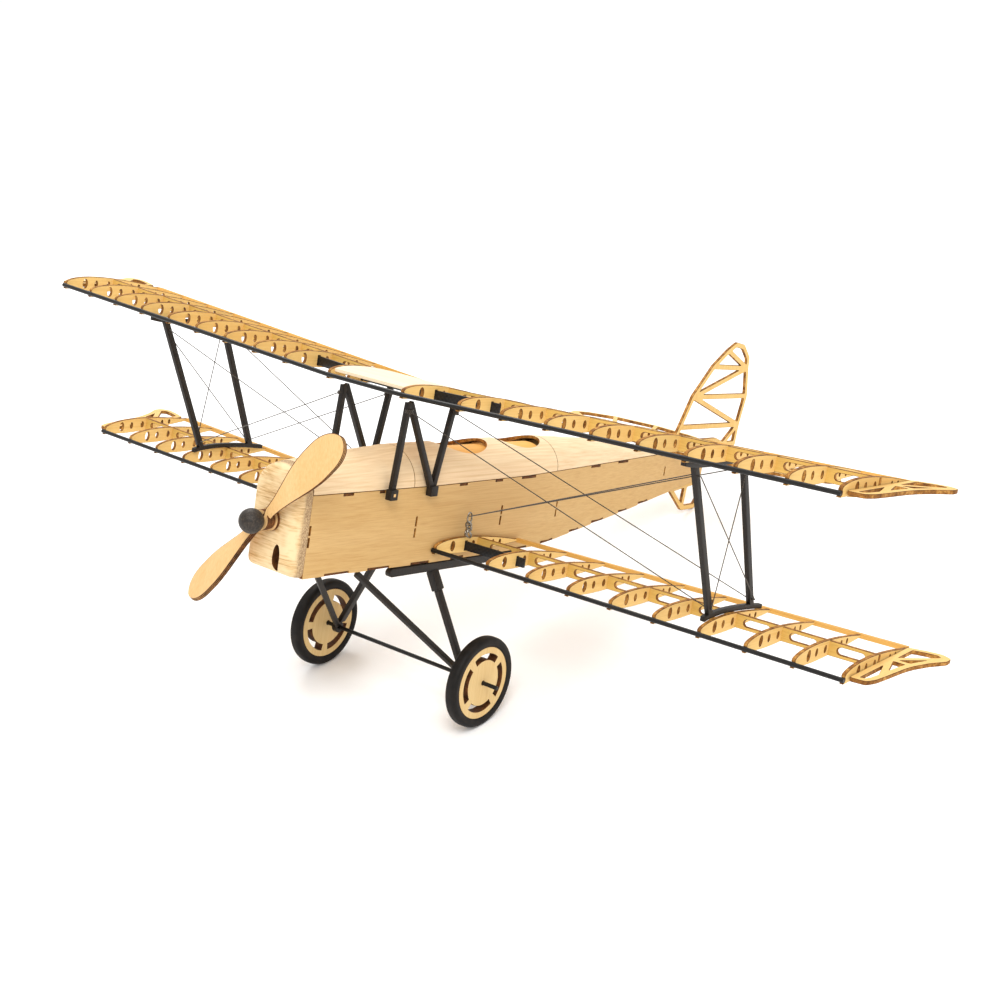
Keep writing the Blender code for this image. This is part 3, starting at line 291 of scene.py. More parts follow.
def tyre_material():
    """Moulded black rubber: satin, with dusty grey on the shoulders."""
    made, tree, shader = new_material("moulded_tyre_rubber", 0.6, 0.22)
    dust = node(tree, NOISE, [(grain_space(tree, (0.25, 0.25, 0.25)), "Vector")], scale=1.0, detail=5.0)
    pores = node(tree, NOISE, [(grain_space(tree, (5.0, 5.0, 5.0)), "Vector")], scale=1.0, detail=2.0)
    tone = node(tree, RAMP, [(dust, "Fac")], stops=((0.4, "0B0806"), (0.72, "1C1713")))
    shade(tree, shader, tone, pores, 0.2)
    return made


def thread_material():
    """Twisted cotton thread: dark brown-black plies about 0.5 mm apart, with a soft fuzz."""
    made, tree, shader = new_material("twisted_thread", 0.85, 0.2, sheen=0.3)
    twist = node(tree, "ShaderNodeTexWave", [(grain_space(tree, (1.0, 1.0, 1.0)), "Vector")], "Fac",
                 wave_type="BANDS", bands_direction="DIAGONAL", scale=0.6, distortion=0.4)
    tone = node(tree, RAMP, [(twist, "Fac")], stops=((0.2, "241F1A"), (0.8, "4D443A")))
    shade(tree, shader, tone, twist, 0.5)
    return made


def nose_material():
    """Sanded balsa block: cream with broken brown streaks, and a speckled end-grain band at its rear."""
    made, tree, shader = new_material("sanded_balsa_block", 0.66, 0.3)
    streak = node(tree, NOISE, [(grain_space(tree, (0.11, 0.11, 1.5)), "Vector")],
                  scale=1.0, detail=5.0, roughness=0.65)
    speck = node(tree, NOISE, [(grain_space(tree, (2.6, 2.6, 1.6)), "Vector")],
                 scale=1.0, detail=4.0, roughness=0.75)
    patch = node(tree, NOISE, [(grain_space(tree, (0.09, 0.2, 0.16)), "Vector")], scale=1.0, detail=2.0)
    cream = node(tree, RAMP, [(streak, "Fac")], stops=((0.36, "A98350"), (0.47, "CDAA77"), (0.6, "E2C496")))
    clear = node(tree, RAMP, [(patch, "Fac")], stops=((0.45, "000000"), (0.62, "FFFFFF")))
    soft = node(tree, MIX, [(clear, MIX_SHARE), (cream, MIX_FIRST), (colour("E4C99C"), MIX_SECOND)],
                MIX_COLOUR, data_type="RGBA")
    grey = node(tree, RAMP, [(speck, "Fac")], stops=((0.36, "7D6246"), (0.5, "A98B66"), (0.62, "CBAF86")))
    back = node(tree, "ShaderNodeSeparateXYZ", [(grain_space(tree, (1.0, 1.0, 1.0)), "Vector")], "Y")
    wander = node(tree, "ShaderNodeMath", [(patch, 0), (2.4, 1)], operation="MULTIPLY")
    edge = node(tree, "ShaderNodeMath", [(back, 0), (wander, 1)], operation="ADD")
    band = node(tree, "ShaderNodeMapRange", [(edge, "Value")],
                from_min=-34.9, from_max=-32.9, interpolation_type="SMOOTHSTEP")
    tone = node(tree, MIX, [(band, MIX_SHARE), (soft, MIX_FIRST), (grey, MIX_SECOND)], MIX_COLOUR,
                data_type="RGBA")
    shade(tree, shader, tone, speck, 0.25, 0.08)
    return made


def paper_material(tone):
    """Matt white paper: no gloss and the faintest tooth, so that the floor stays quiet."""
    made, tree, shader = new_material("matt_white_paper", 0.95, 0.1)
    tooth = node(tree, NOISE, [(grain_space(tree, (0.5, 0.5, 0.5)), "Vector")], scale=1.0, detail=2.0)
    white = colour(tone)
    shaded = (*[value * 0.985 for value in white[:3]], 1.0)
    shade(tree, shader, node(tree, MIX, [(tooth, MIX_SHARE), (white, MIX_FIRST), (shaded, MIX_SECOND)],
                             MIX_COLOUR, data_type="RGBA"))
    return made


MATERIALS = {}


def materials():
    """Every finish, made once."""
    if MATERIALS:
        return MATERIALS
    face, grain, edge = wood().ply_face, wood().ply_grain, wood().burnt_edge
    # Birch ply: pale gold faces, with fine darker fibre that runs along the piece
    for axis, way in (("X", "spanwise"), ("Y", "lengthwise"), ("Z", "upright")):
        name = f"laser_cut_birch_ply_{way}"
        MATERIALS[f"ply_{axis.lower()}"] = wood_material(name, face, grain, "DDB064", axis, 0.5)
    MATERIALS.update(
        # Carved ply: warmer and more even, as sanded blades look
        ply_pale=wood_material("pale_carved_ply", "E3BA82", "C99A58", "D8AC6E", "Z", 0.45),
        # Wheel ply: light, low in contrast, so that the discs stand out from the tyres
        wheel=wood_material("pale_wheel_ply", "DBBE87", "C9A566", "D3B076", "Z", 0.5, 0.4),
        # Spar balsa: a duller olive yellow than the ribs, partly the balsa's own tone and partly painted
        # shade between the ribs
        spar=wood_material("spar_balsa_and_painted_shade", "D6AE5C", "B78D42", "C29A4C", "X", 0.45),
        # Trailing ply: a deeper gold line along the rear of each wing
        trail=wood_material("golden_trailing_ply", "DDAA5A", "BC8636", "C9953F", "X", 0.5),
        # Basswood ply: quiet lengthwise grain, so that the sides look broad and smooth
        skin=wood_material("basswood_ply_skin", wood().skin_face, "B58A50", "C39B5E", "Y", 0.42, 0.45, 0.08),
        # Bent balsa: wide soft streaks, paler than the sides
        balsa=wood_material("bent_balsa_sheet", wood().balsa_face, "C7A06C", "EFD9B4", "Y", 0.9, 0.45, 0.08),
        # Centre-section balsa: the palest wood, with its grain across the model
        balsa_x=wood_material("balsa_centre_sheet", "F0DDBE", "DCC094", "F1E0C6", "X", 0.8, 0.4, 0.06),
        # Painted light: a sheet under the cockpits whose bright warm tone is a painted glow, the light that
        # would shine through thin wood
        lining=wood_material("warm_cockpit_lining", "F0B45C", "D0913F", "E0A24C", "Y", 1.1, 0.45),
        # Laser cuts: a brown, unevenly charred outline round every sheet part
        burnt=burnt_material("laser_burnt_edge", "6A3F16", edge, "CF9A50"),
        # Scorch: a darker, thin line where the cut meets the face
        scorch=burnt_material("laser_scorch_line", "3A200C", "5E3614", "7A4A1E"),
        # Spirit-black stained ply: the fibre still catches a dull grey-brown light
        black=grained_material(
            "black_stained_ply", (0.5, 0.3), (2.4, 2.4, 0.25), 4.0,
            ((0.35, "0D0A08"), (0.6, "211A14"), (0.75, "3C3127")), (0.25, 0.06), (0.36, 0.62), 0.65),
        # Pultruded carbon: near-black with fine lengthwise lines and a soft grey highlight
        carbon=grained_material(
            "pultruded_carbon", (0.42, 0.3), (0.1, 3.0, 3.0), 3.0, ((0.35, "090807"), (0.7, "1C1A18")),
            (0.15, 0.04)),
        # Charcoal paint on a turned ball: matt and a little pitted
        charcoal=grained_material(
            "charcoal_spinner_paint", (0.55, 0.4), (1.3, 1.3, 1.3), 6.0,
            ((0.38, "17110C"), (0.52, "2B231B"), (0.68, "4A3F33")), (0.35, 0.1), (), 0.75),
        # Drawn steel wire: bright, with light draw marks
        steel=grained_material(
            "drawn_steel_wire", (0.28, 0.5, 1.0), (3.0, 3.0, 3.0), 3.0, ((0.3, "5F5A52"), (0.7, "B5AFA4")),
            (), (0.2, 0.4)),
        # Natural-rubber strip: tan and slightly powdery
        strip=grained_material(
            "tan_strip_rubber", (0.7, 0.3), (0.6, 0.12, 0.6), 4.0, ((0.3, "A37B42"), (0.7, "C9A468")),
            (0.15, 0.05)),
        twill=carbon_twill_material(),
        tyre=tyre_material(),
        thread=thread_material(),
        nose=nose_material(),
    )
    return MATERIALS


# The record's material slot for each leading finish
SLOT_OF = {
    **dict.fromkeys(("ply_x", "ply_y", "ply_z", "ply_pale", "wheel", "spar", "trail"), "birch_ply"),
    **dict.fromkeys(("skin", "scorch"), "basswood_ply"),
    **dict.fromkeys(("balsa", "balsa_x", "lining", "nose"), "balsa"),
    **dict.fromkeys(("carbon", "twill"), "carbon_rod"),
    "black": "black_stained_ply", "tyre": "tyre_rubber", "charcoal": "charcoal_paint",
    "steel": "bright_steel", "thread": "dark_thread", "strip": "tan_rubber",
}
CUT_PLY = ("ply_y", "burnt", "scorch")


# ------------------------------------------------------------------ shapes

SHARP_ANGLE = 35.0


def outward(bm):
    """Faces turned the same way round, with the outside of the solid outside."""
    bmesh.ops.recalc_face_normals(bm, faces=bm.faces)
    if bm.calc_volume(signed=True) < 0:
        bmesh.ops.reverse_faces(bm, faces=bm.faces)
    return bm


def piece(name, bm, finishes, stands_for, body=ROOT_BODY):
    """A finished piece: its mesh in airframe millimetres, riding with a body and standing for a CAD node.

    A piece that bends between two bodies has no body here.
    """
    outward(bm)
    bm.transform(STAND @ Matrix.Scale(MM, 4))
    mesh = bpy.data.meshes.new(name)
    bm.to_mesh(mesh)
    bm.free()
    for finish in finishes:
        mesh.materials.append(materials()[finish])
    mesh.shade_smooth()
    mesh.set_sharp_from_angle(angle=math.radians(SHARP_ANGLE))
    made = bpy.data.objects.new(name, mesh)
    bpy.context.collection.objects.link(made)
    if body:
        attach(made, body)
    slot, nodes = SLOT_OF[finishes[0]], (stands_for,)
    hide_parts(*nodes)
    return made


def skirt(bm, near, far, finishes=(0,)):
    """Quads between two rings of equal length, taking the finishes in turn."""
    count = len(near)
    for i in range(count):
        face = bm.faces.new((near[i], near[(i + 1) % count], far[(i + 1) % count], far[i]))
        face.material_index = finishes[i % len(finishes)]


def hoop(bm, rows):
    """Rings joined one to the next and the last to the first."""
    for near, far in zip(rows, rows[1:] + rows[:1]):
        skirt(bm, near, far)
    return bm


def loft(rings, bevel=0.0):
    """A closed solid through rings of equal length, capped at both ends."""
    bm = bmesh.new()
    rows = [[bm.verts.new(point) for point in ring] for ring in rings]
    for near, far in zip(rows, rows[1:]):
        skirt(bm, near, far)
    bm.faces.new(rows[0])
    bm.faces.new(reversed(rows[-1]))
    return softened(outward(bm), bevel)


def softened(bm, bevel, angle=40.0):
    """Sharp corners broken by a small bevel."""
    if bevel:
        edges = [edge for edge in bm.edges if len(edge.link_faces) == 2
                 and edge.calc_face_angle(0) > math.radians(angle)]
        bmesh.ops.bevel(bm, geom=edges, offset=bevel, segments=2, profile=0.6, affect="EDGES",
                        clamp_overlap=True)
    return bm


def angles(start, stop, step):
    """Angles in radians, from whole degrees."""
    return [math.radians(degree) for degree in range(start, stop, step)]


def circle(radius, count, centre=(0.0, 0.0), turn=0.0, squash=1.0):
    return [
        (
            centre[0] + radius * math.cos(turn + math.tau * i / count),
            centre[1] + radius * squash * math.sin(turn + math.tau * i / count),
        )
        for i in range(count)
    ]


def inset(loop, distance):
    """A polygon moved inwards by a distance, or outwards by a negative one."""
    area = sum(a[0] * b[1] - b[0] * a[1] for a, b in zip(loop, loop[1:] + loop[:1])) / 2
    turn = 1 if area > 0 else -1
    result = []
    for i, here in enumerate(loop):
        before, after = Vector(loop[i - 1]), Vector(loop[(i + 1) % len(loop)])
        here = Vector(here)
        first = (here - before).normalized()
        second = (after - here).normalized()
        inward = [Vector((-d.y, d.x)) * turn for d in (first, second)]
        middle = (inward[0] + inward[1]).normalized()
        result.append(tuple(here + middle * distance / max(middle.dot(inward[0]), 0.12)))
    return result


def rounded(loop, radius, steps=3):
    """A polygon whose corners are rounded off, less where its sides are short."""
    result = []
    for i, here in enumerate(loop):
        before, here, after = Vector(loop[i - 1]), Vector(here), Vector(loop[(i + 1) % len(loop)])
        reach = min(radius, (before - here).length * 0.4, (after - here).length * 0.4)
        start = here + (before - here).normalized() * reach
        end = here + (after - here).normalized() * reach
        for step in range(steps + 1):
            t = step / steps
            result.append(tuple(start * (1 - t) ** 2 + here * 2 * t * (1 - t) + end * t ** 2))
    return result


def cut_sheet(outline, thickness, holes=(), axes=ALONG_YZ):
    """Flat stock with its corners just broken. Faces, cut edges and corners take the finishes in turn."""
    bm = bmesh.new()
    half = thickness / 2
    soft = wood().bevel / MM
    rims = ([], [])
    for index, loop in enumerate([outline, *holes]):
        face_loop = inset(loop, soft if index == 0 else -soft)
        levels = ((face_loop, -half), (loop, soft - half), (loop, half - soft), (face_loop, half))
        rows = [[bm.verts.new((a, b, z)) for a, b in ring] for ring, z in levels]
        count = len(loop)
        for finish, near, far in zip((2, 1, 2), rows, rows[1:]):
            skirt(bm, near, far, (finish,))
        for rim, row in zip(rims, (rows[0], rows[-1])):
            rim += [bm.edges.get((row[i], row[(i + 1) % count])) for i in range(count)]
    for rim in rims:
        bmesh.ops.triangle_fill(bm, use_beauty=True, use_dissolve=False, edges=rim)
    bm.transform(Matrix(axes).transposed().to_4x4())
    return bm


def truss(rim, cells, bar_width, thickness, axes, corner=0.9):
    """A flat frame: a rim on its centre line, and the cells between its bars."""
    holes = [rounded(inset(cell, bar_width / 2), corner) for cell in cells]
    return cut_sheet(rounded(inset(rim, -bar_width / 2), 1.2), thickness, holes, axes)


def moved(bm, offset):
    """The same shape, shifted."""
    bmesh.ops.translate(bm, vec=Vector(offset), verts=bm.verts)
    return bm


def joined(parts):
    """Several shapes in one mesh, each keeping its own finishes."""
    whole = bmesh.new()
    for bm in parts:
        mesh = bpy.data.meshes.new("part")
        outward(bm).to_mesh(mesh)
        bm.free()
        whole.from_mesh(mesh)
        bpy.data.meshes.remove(mesh)
    return whole


def finished_with(bm, index):
    """The same shape, all in one of its piece's finishes."""
    for face in bm.faces:
        face.material_index = index
    return bm


def cut(base, cutter):
    """The base with the cutter's solid taken away; new faces keep the cutter's finish number."""
    holders = []
    for bm in (base, cutter):
        mesh = bpy.data.meshes.new("shape")
        bm.to_mesh(mesh)
        bm.free()
        for _ in range(3):
            mesh.materials.append(None)
        holder = bpy.data.objects.new("shape", mesh)
        bpy.context.collection.objects.link(holder)
        holders.append(holder)
    modifier = holders[0].modifiers.new("cut", "BOOLEAN")
    modifier.operation = "DIFFERENCE"
    modifier.object = holders[1]
    modifier.solver = "EXACT"
    bpy.context.view_layer.update()
    result = bpy.data.meshes.new_from_object(holders[0].evaluated_get(bpy.context.evaluated_depsgraph_get()))
    bm = bmesh.new()
    bm.from_mesh(result)
    for holder in holders:
        mesh = holder.data
        bpy.data.objects.remove(holder)
        bpy.data.meshes.remove(mesh)
    bpy.data.meshes.remove(result)
    return bm


def tube_along(points, radius, sides=10):
    """A round bar or thread through points, thin or thick."""
    points = [Vector(point) for point in points]
    across = (points[1] - points[0]).orthogonal().normalized()
    rings = []
    for i, point in enumerate(points):
        along = (points[min(i + 1, len(points) - 1)] - points[max(i - 1, 0)]).normalized()
        across = (across - along * along.dot(across)).normalized()
        third = along.cross(across)
        rings.append([point + across * a + third * b for a, b in circle(radius, sides)])
    return loft(rings)


def bar(start, end, width, depth, across, soft=0.25):
    """A bar between two points with rubbed corners; `across` is the direction of its width."""
    start, end = Vector(start), Vector(end)
    along = (end - start).normalized()
    wide = Vector(across) - along * along.dot(Vector(across))
    wide.normalize()
    deep = along.cross(wide)
    ends = [[point + wide * a * width / 2 + deep * b * depth / 2 for a, b in BOX_CORNERS]
            for point in (start, end)]
    return loft(ends, soft)


def ring_about(centre, long_radius, short_radius, wire, long_axis, short_axis, sides=28, around=10):
    """A closed wire ring, round or oval."""
    long_axis, short_axis = Vector(long_axis).normalized(), Vector(short_axis).normalized()
    normal = long_axis.cross(short_axis)
    bm = bmesh.new()
    rows = []
    for i in range(sides):
        angle = math.tau * i / sides
        out = long_axis * math.cos(angle) + short_axis * math.sin(angle)
        middle = (Vector(centre) + long_axis * long_radius * math.cos(angle)
                  + short_axis * short_radius * math.sin(angle))
        rows.append([bm.verts.new(middle + out * a + normal * b) for a, b in circle(wire / 2, around)])
    return hoop(bm, rows)


def turned(profile, sides):
    """A closed profile of (radius, offset) turned about the X axis."""
    bm = bmesh.new()
    rows = []
    for i in range(sides):
        angle = math.tau * i / sides
        rows.append([bm.verts.new((x, r * math.cos(angle), r * math.sin(angle))) for r, x in profile])
    return hoop(bm, rows)


def between(table, at, column):
    """A value read off a table of stations by straight lines."""
    if at <= table[0][0]:
        return table[0][column]
    for near, far in zip(table, table[1:]):
        if at <= far[0]:
            return near[column] + (at - near[0]) / (far[0] - near[0]) * (far[column] - near[column])
    return table[-1][column]


def half_width(at):
    return between(FUSELAGE, at, 1)


def top_edge(at):
    return between(FUSELAGE, at, 2)


def bottom_edge(at):
    return between(FUSELAGE, at, 3)


def ridge(at):
    return between(RIDGE, at, 1)


# ------------------------------------------------------------------ wings

class Wing:
    """One half wing: where its root is and how its leading edge runs."""

    def __init__(self, side, upper):
        self.side, self.upper = side, upper
        self.root = CENTRE_HALF if upper else HALF_WIDTH + CLEAR + PLY / 2
        self.front = 0.0 if upper else STAGGER
        self.height = 0.0 if upper else -WING_GAP
        self.sweep, self.dihedral = (0.072, 0.027) if upper else (0.039, 0.006)
        self.incidence, self.washout, self.taper = (4.0, 0.018, 0.0) if upper else (1.5, 0.026, 0.0004)
        self.tip = SPAN / 2 - TIP_BULGE - self.root
        pitch = (self.tip - ROOT_BAY) / BAYS
        self.ribs = [0.0] + [ROOT_BAY + pitch * i for i in range(BAYS + 1)]

    def point(self, out, back, up):
        """The airframe position of a place on this half wing."""
        return Vector((
            self.side * (self.root + out),
            self.front + back * (1 - self.taper * out) + self.sweep * out,
            self.height + up + self.dihedral * out + (self.washout * out - self.incidence) * back / CHORD,
        ))

    def slanted(self, bm):
        for vert in bm.verts:
            vert.co = self.point(*vert.co)
        return bm


WINGS = {(side, upper): Wing(side, upper) for side in SIDES.values() for upper in (True, False)}


def rib_heights(back):
    """Top and bottom of a rib at a distance behind the leading edge."""
    s = min(max(back / CHORD, 0.0), 1.0)
    half = 5 * RIB_THICKNESS * CHORD * (
        0.2969 * math.sqrt(s) - 0.126 * s - 0.3516 * s**2 + 0.2843 * s**3 - 0.1015 * s**4
    )
    camber = 4 * RIB_CAMBER * CHORD * s * (1 - s)
    least = TRAIL_HEIGHT / 2 - 0.25
    return camber + max(half, least), camber - max(half, least)


def rib_outline():
    """Aerofoil with a round seat for the leading rod and a small lip hooked under it."""
    tail = CHORD - TRAIL_WIDTH / 2
    stations = [0.9 + (tail - 0.9) * (i / 30) ** 1.5 for i in range(31)]
    top = [(s, rib_heights(s)[0]) for s in stations]
    bottom = [(s, rib_heights(s)[1]) for s in reversed(stations) if s > 4.2]
    seat = ROD / 2 + 0.12
    lip = [(3.2, -2.2), (1.5, -2.3), (0.1, -2.35), (-0.3, -2.1)]
    arc = [(seat * math.cos(a), -ROD_DROP + seat * math.sin(a)) for a in angles(-85, 66, 25)]
    return top + bottom + lip + arc + [(0.45, 0.55)]


def oval(centre, across, high, count=18):
    return circle(across / 2, count, centre, squash=high / across)


def rib(with_joiner):
    holes = [oval((10.4, 0.35), 2.5, 4.0), oval((23.2, 0.45), 1.8, 2.7), oval((36.0, 0.4), 1.3, 2.0),
             oval((40.6, 0.35), 1.3, 1.9)]
    if with_joiner:
        slot, wide = JOINER_HEIGHT / 2 + 0.15, JOINER_THICKNESS / 2 + 0.15
        holes.append([(JOINER_AT - wide, -slot), (JOINER_AT + wide, -slot), (JOINER_AT + wide, slot),
                      (JOINER_AT - wide, slot)])
    else:
        holes.append(oval((16.4, 0.45), 1.7, 2.8))
    return cut_sheet(rib_outline(), PLY, holes, ALONG_YZ)


def spar(wing):
    """Balsa spar with one rounded slot in each bay; its end stands just past the tip rib."""
    long, high = 5.2, 1.35
    holes = []
    for near, far in zip(wing.ribs, wing.ribs[1:]):
        middle = (near + far) / 2
        ends = [[(middle + sign * (long - high) + sign * high * math.cos(a), sign * high * math.sin(a))
                 for a in angles(-90, 91, 20)] for sign in (1, -1)]
        holes.append(ends[0] + ends[1])
    low, top = -SPAR_HEIGHT / 2, SPAR_HEIGHT / 2
    length = wing.tip + PLY / 2 + 0.2
    outline = [(-PLY / 2, low), (length, low), (length, top), (-PLY / 2, top)]
    bm = cut_sheet(outline, PLY, holes, ALONG_XZ)
    return moved(bm, (0, SPAR_AT, sum(rib_heights(SPAR_AT)) / 2))


def tip_frame(wing):
    """The bowed end frame and its bars, laid flat on the rod and rising towards the trailing edge."""
    inner = PLY / 2 + CLEAR + TIP_BAR / 2
    far = TIP_BULGE - TIP_BAR / 2
    knot = (inner, CHORD * 0.605)
    corner = (far - 0.3, CHORD * 0.90)
    front = [(inner, 4.4), (far * 0.37, 4.9), (far * 0.45, 8.4), (far * 0.49, 14.2)]
    middle = [(far * 0.56, CHORD * 0.50), (far * 0.62, CHORD * 0.60)]
    bend = (far * 0.78, CHORD * 0.745)
    rear = [(far * 0.80, CHORD * 0.955), (far * 0.50, CHORD * 0.945), (inner, CHORD * 0.915)]
    rim = [*front, *middle, bend, (far, CHORD * 0.87), (far - 0.2, CHORD * 0.925), *rear]
    cells = [[*front, knot], [knot, front[3], *middle], [knot, middle[1], bend, corner],
             [knot, corner, *rear]]
    bm = truss(rim, cells, TIP_BAR, PLY, ALONG_XY, 0.7)
    for vert in bm.verts:
        vert.co.x += wing.tip
        vert.co.z += TIP_TILT * vert.co.y - ROD_DROP
    return wing.slanted(bm)


class BIPLANE_OT_wing_frames(bpy.types.Operator):
    """Ribs, spars, trailing strips and bowed tips of the four half wings"""
    bl_idname = "biplane.wing_frames"
    bl_label = "Wing frames"

    def execute(self, context):
        for side_name, side in SIDES.items():
            for level, upper in (("upper", True), ("lower", False)):
                wing = WINGS[side, upper]
                frame_node = f"{level}_wing_frame_{side_name}"
                for number, out in enumerate(wing.ribs):
                    shape = wing.slanted(moved(rib(number < 2), (out, 0, 0)))
                    piece(f"{level}_rib_{side_name}_{number + 1}", shape, CUT_PLY, frame_node)
                piece(f"{level}_spar_{side_name}", wing.slanted(spar(wing)), ("spar", "burnt", "scorch"),
                      frame_node)
                strip = CHORD - TRAIL_WIDTH / 2 + 0.4
                low, high = -TRAIL_HEIGHT / 2, TRAIL_HEIGHT / 2
                loop = [(strip - 1.5, low), (strip + 1.5, low + 0.3), (strip + 1.5, high - 0.3),
                        (strip - 1.5, high)]
                ends = [[(out, back, up) for back, up in loop] for out in (0.0, wing.tip / 2, wing.tip)]
                piece(f"{level}_trailing_strip_{side_name}", wing.slanted(loft(ends, 0.15)), ("trail",),
                      frame_node)
                piece(f"{level}_tip_bow_{side_name}", tip_frame(wing), CUT_PLY,
                      f"{level}_wing_tip_{side_name}")
        return {"FINISHED"}


class BIPLANE_OT_wing_carbon(bpy.types.Operator):
    """Leading-edge rods and the carbon strips that join each pair of half wings"""
    bl_idname = "biplane.wing_carbon"
    bl_label = "Leading rods and joiners"

    def execute(self, context):
        for side_name, side in SIDES.items():
            low = WINGS[side, False]
            ends = [low.point(out, 0, -ROD_DROP) for out in (-PLY / 2, low.tip + PLY / 2)]
            piece(f"lower_rod_{side_name}", tube_along(ends, ROD / 2, 20), ("carbon",),
                  f"lower_leading_rod_{side_name}")
        high = WINGS[1, True]
        reach = high.tip + PLY / 2
        route = [WINGS[side, True].point(out, 0, -ROD_DROP)
                 for side, out in ((-1, reach), (-1, 0.0), (1, 0.0), (1, reach))]
        piece("upper_rod", tube_along(route, ROD / 2, 20), ("carbon",), "upper_leading_rod")
        for level, upper in (("upper", True), ("lower", False)):
            reach = WINGS[1, upper].ribs[1] + PLY / 2 + JOINER_STUB
            rings = []
            for side, out in ((-1, reach), (-1, 0.0), (1, 0.0), (1, reach)):
                middle = WINGS[side, upper].point(out, JOINER_AT, 0)
                rings.append([middle + Vector((0, a * JOINER_THICKNESS / 2, b * JOINER_HEIGHT / 2))
                              for a, b in BOX_CORNERS])
            piece(f"{level}_joiner_strip", loft(rings, 0.12), ("twill",), f"{level}_wing_joiner")
        return {"FINISHED"}


class BIPLANE_OT_centre_sheet(bpy.types.Operator):
    """The bent top skin between the two centre ribs"""
    bl_idname = "biplane.centre_sheet"
    bl_label = "Centre-section sheet"

    def execute(self, context):
        half = CENTRE_HALF - PLY / 2 - CLEAR
        stations = [2.2 + (CHORD - TRAIL_WIDTH - 2.2) * (i / 24) ** 1.3 for i in range(25)]
        upper = [(s, rib_heights(s)[0] - 4.0 * s / CHORD) for s in stations]
        lower = [(s, z - 1.1) for s, z in reversed(upper)]
        piece("bent_centre_skin", cut_sheet(upper + lower, 2 * half, axes=ALONG_YZ),
              ("balsa_x", "balsa_x", "balsa_x"), "centre_section_sheet")
        return {"FINISHED"}


# ------------------------------------------------------------------ fuselage

# Tab slots along the top and bottom edges (start, end), and upright slits at the frames (back, low, high)
TOP_SLOTS = ((-17.0, -11.6), (1.8, 5.0), (47.0, 52.0), (69.5, 74.5), (87.0, 97.0), (141.0, 149.0),
             (164.5, 173.5), (206.0, 211.0))
LOW_SLOTS = ((-21.3, -8.7), (1.0, 12.8), (24.5, 35.0), (48.0, 56.0), (70.0, 79.0), (90.0, 98.0),
             (108.3, 117.8), (131.0, 138.4),
             (149.0, 159.0), (172.0, 179.6), (190.0, 199.0))
SLITS = ((-31.4, -52.0, -48.4), (-31.4, -56.4, -52.7), (24.3, -57.0, -53.4), (24.3, -52.7, -48.8),
         (76.7, -56.3, -52.6),
         (76.7, -51.9, -48.2), (117.0, -56.4, -53.2), (117.0, -52.2, -49.1), (212.0, -46.3, -42.0))
SLIT_WIDE = 1.05


def side_panel(side):
    """Bent ply side with its tab slots and slits cut through; wall faces of every cut are burnt."""
    stations = sorted(set([row[0] for row in FUSELAGE] + list(range(-30, 250, 5))))
    rings = []
    for at in stations:
        half, top, low = half_width(at), top_edge(at), bottom_edge(at)
        outer, inner = side * half, side * (half - SIDE_PLY)
        rings.append([(outer, at, top), (outer, at, low), (inner, at, low), (inner, at, top)])
    body = loft(rings)
    cutters = []

    def window(front, rear, low, high):
        middle = (front + rear) / 2
        x = side * (half_width(middle) - SIDE_PLY / 2)
        shape = bar((x, front, (low + high) / 2), (x, rear, (low + high) / 2), 4.0, high - low, (1, 0, 0),
                    0.0)
        cutters.append(shape)

    window(STAGGER + JOINER_AT - 0.8, STAGGER + JOINER_AT + 0.8, -WING_GAP - 2.6, -WING_GAP + 1.6)
    for back, low, high in SLITS:
        window(back - SLIT_WIDE / 2, back + SLIT_WIDE / 2, low, high)
    for front, rear in TOP_SLOTS:
        window(front, rear, top_edge((front + rear) / 2) - 1.0, top_edge((front + rear) / 2) + 2.0)
    for front, rear in LOW_SLOTS:
        window(front, rear, bottom_edge((front + rear) / 2) - 2.0, bottom_edge((front + rear) / 2) + 1.0)
    body = cut(body, joined(cutters))
    body.normal_update()
    for face in body.faces:
        face.material_index = 0 if abs(face.normal.x) > 0.8 else 1
    return body


def tabs(side):
    """The ends of frames and floor tabs that fill the slots, standing a hair inside the skin."""
    shapes = []
    for front, rear in TOP_SLOTS:
        middle = (front + rear) / 2
        x, z = side * (half_width(middle) - 0.75), top_edge(middle) - 0.5
        shapes.append(bar((x, front + 0.2, z), (x, rear - 0.2, z), 1.2, 0.8, (1, 0, 0), 0.05))
    for front, rear in LOW_SLOTS:
        middle = (front + rear) / 2
        x, rise = side * (half_width(middle) - 0.75), bottom_edge(rear) - bottom_edge(front)
        low = bottom_edge(middle) + 0.5
        shapes.append(bar((x, front + 0.2, low - rise / 2), (x, rear - 0.2, low + rise / 2), 1.2, 0.8,
                          (1, 0, 0), 0.05))
    for back, low, high in SLITS:
        x = side * (half_width(back) - 0.95)
        shapes.append(bar((x, back, low + 0.15), (x, back, high - 0.15), 0.9, SLIT_WIDE - 0.2, (1, 0, 0),
                          0.0))
    return joined(shapes)


def arch(at, shrink, count=28):
    """Points over the deck from port to starboard at one station."""
    half = half_width(at) - shrink
    base = top_edge(at) + CLEAR
    rise = ridge(at) - base - shrink
    return [(half * math.cos(math.pi * i / count), at, base + rise * math.sin(math.pi * i / count))
            for i in range(count + 1)]


def deck(front, rear):
    front, rear = front + 0.15, rear - 0.15
    count = max(4, round((rear - front) / 5))
    evenly = [front + (rear - front) * i / count for i in range(count + 1)]
    stations = sorted({*evenly, *[row[0] for row in RIDGE + FUSELAGE if front < row[0] < rear]})
    rings = []
    for at in stations:
        thin = min(BALSA, (ridge(at) - top_edge(at)) * 0.4)
        rings.append(arch(at, 0.0) + list(reversed(arch(at, thin))))
    bm = loft(rings)
    bm.normal_update()
    for face in bm.faces:
        face.material_index = 1 if abs(face.normal.y) > 0.9 else 0
    return bm


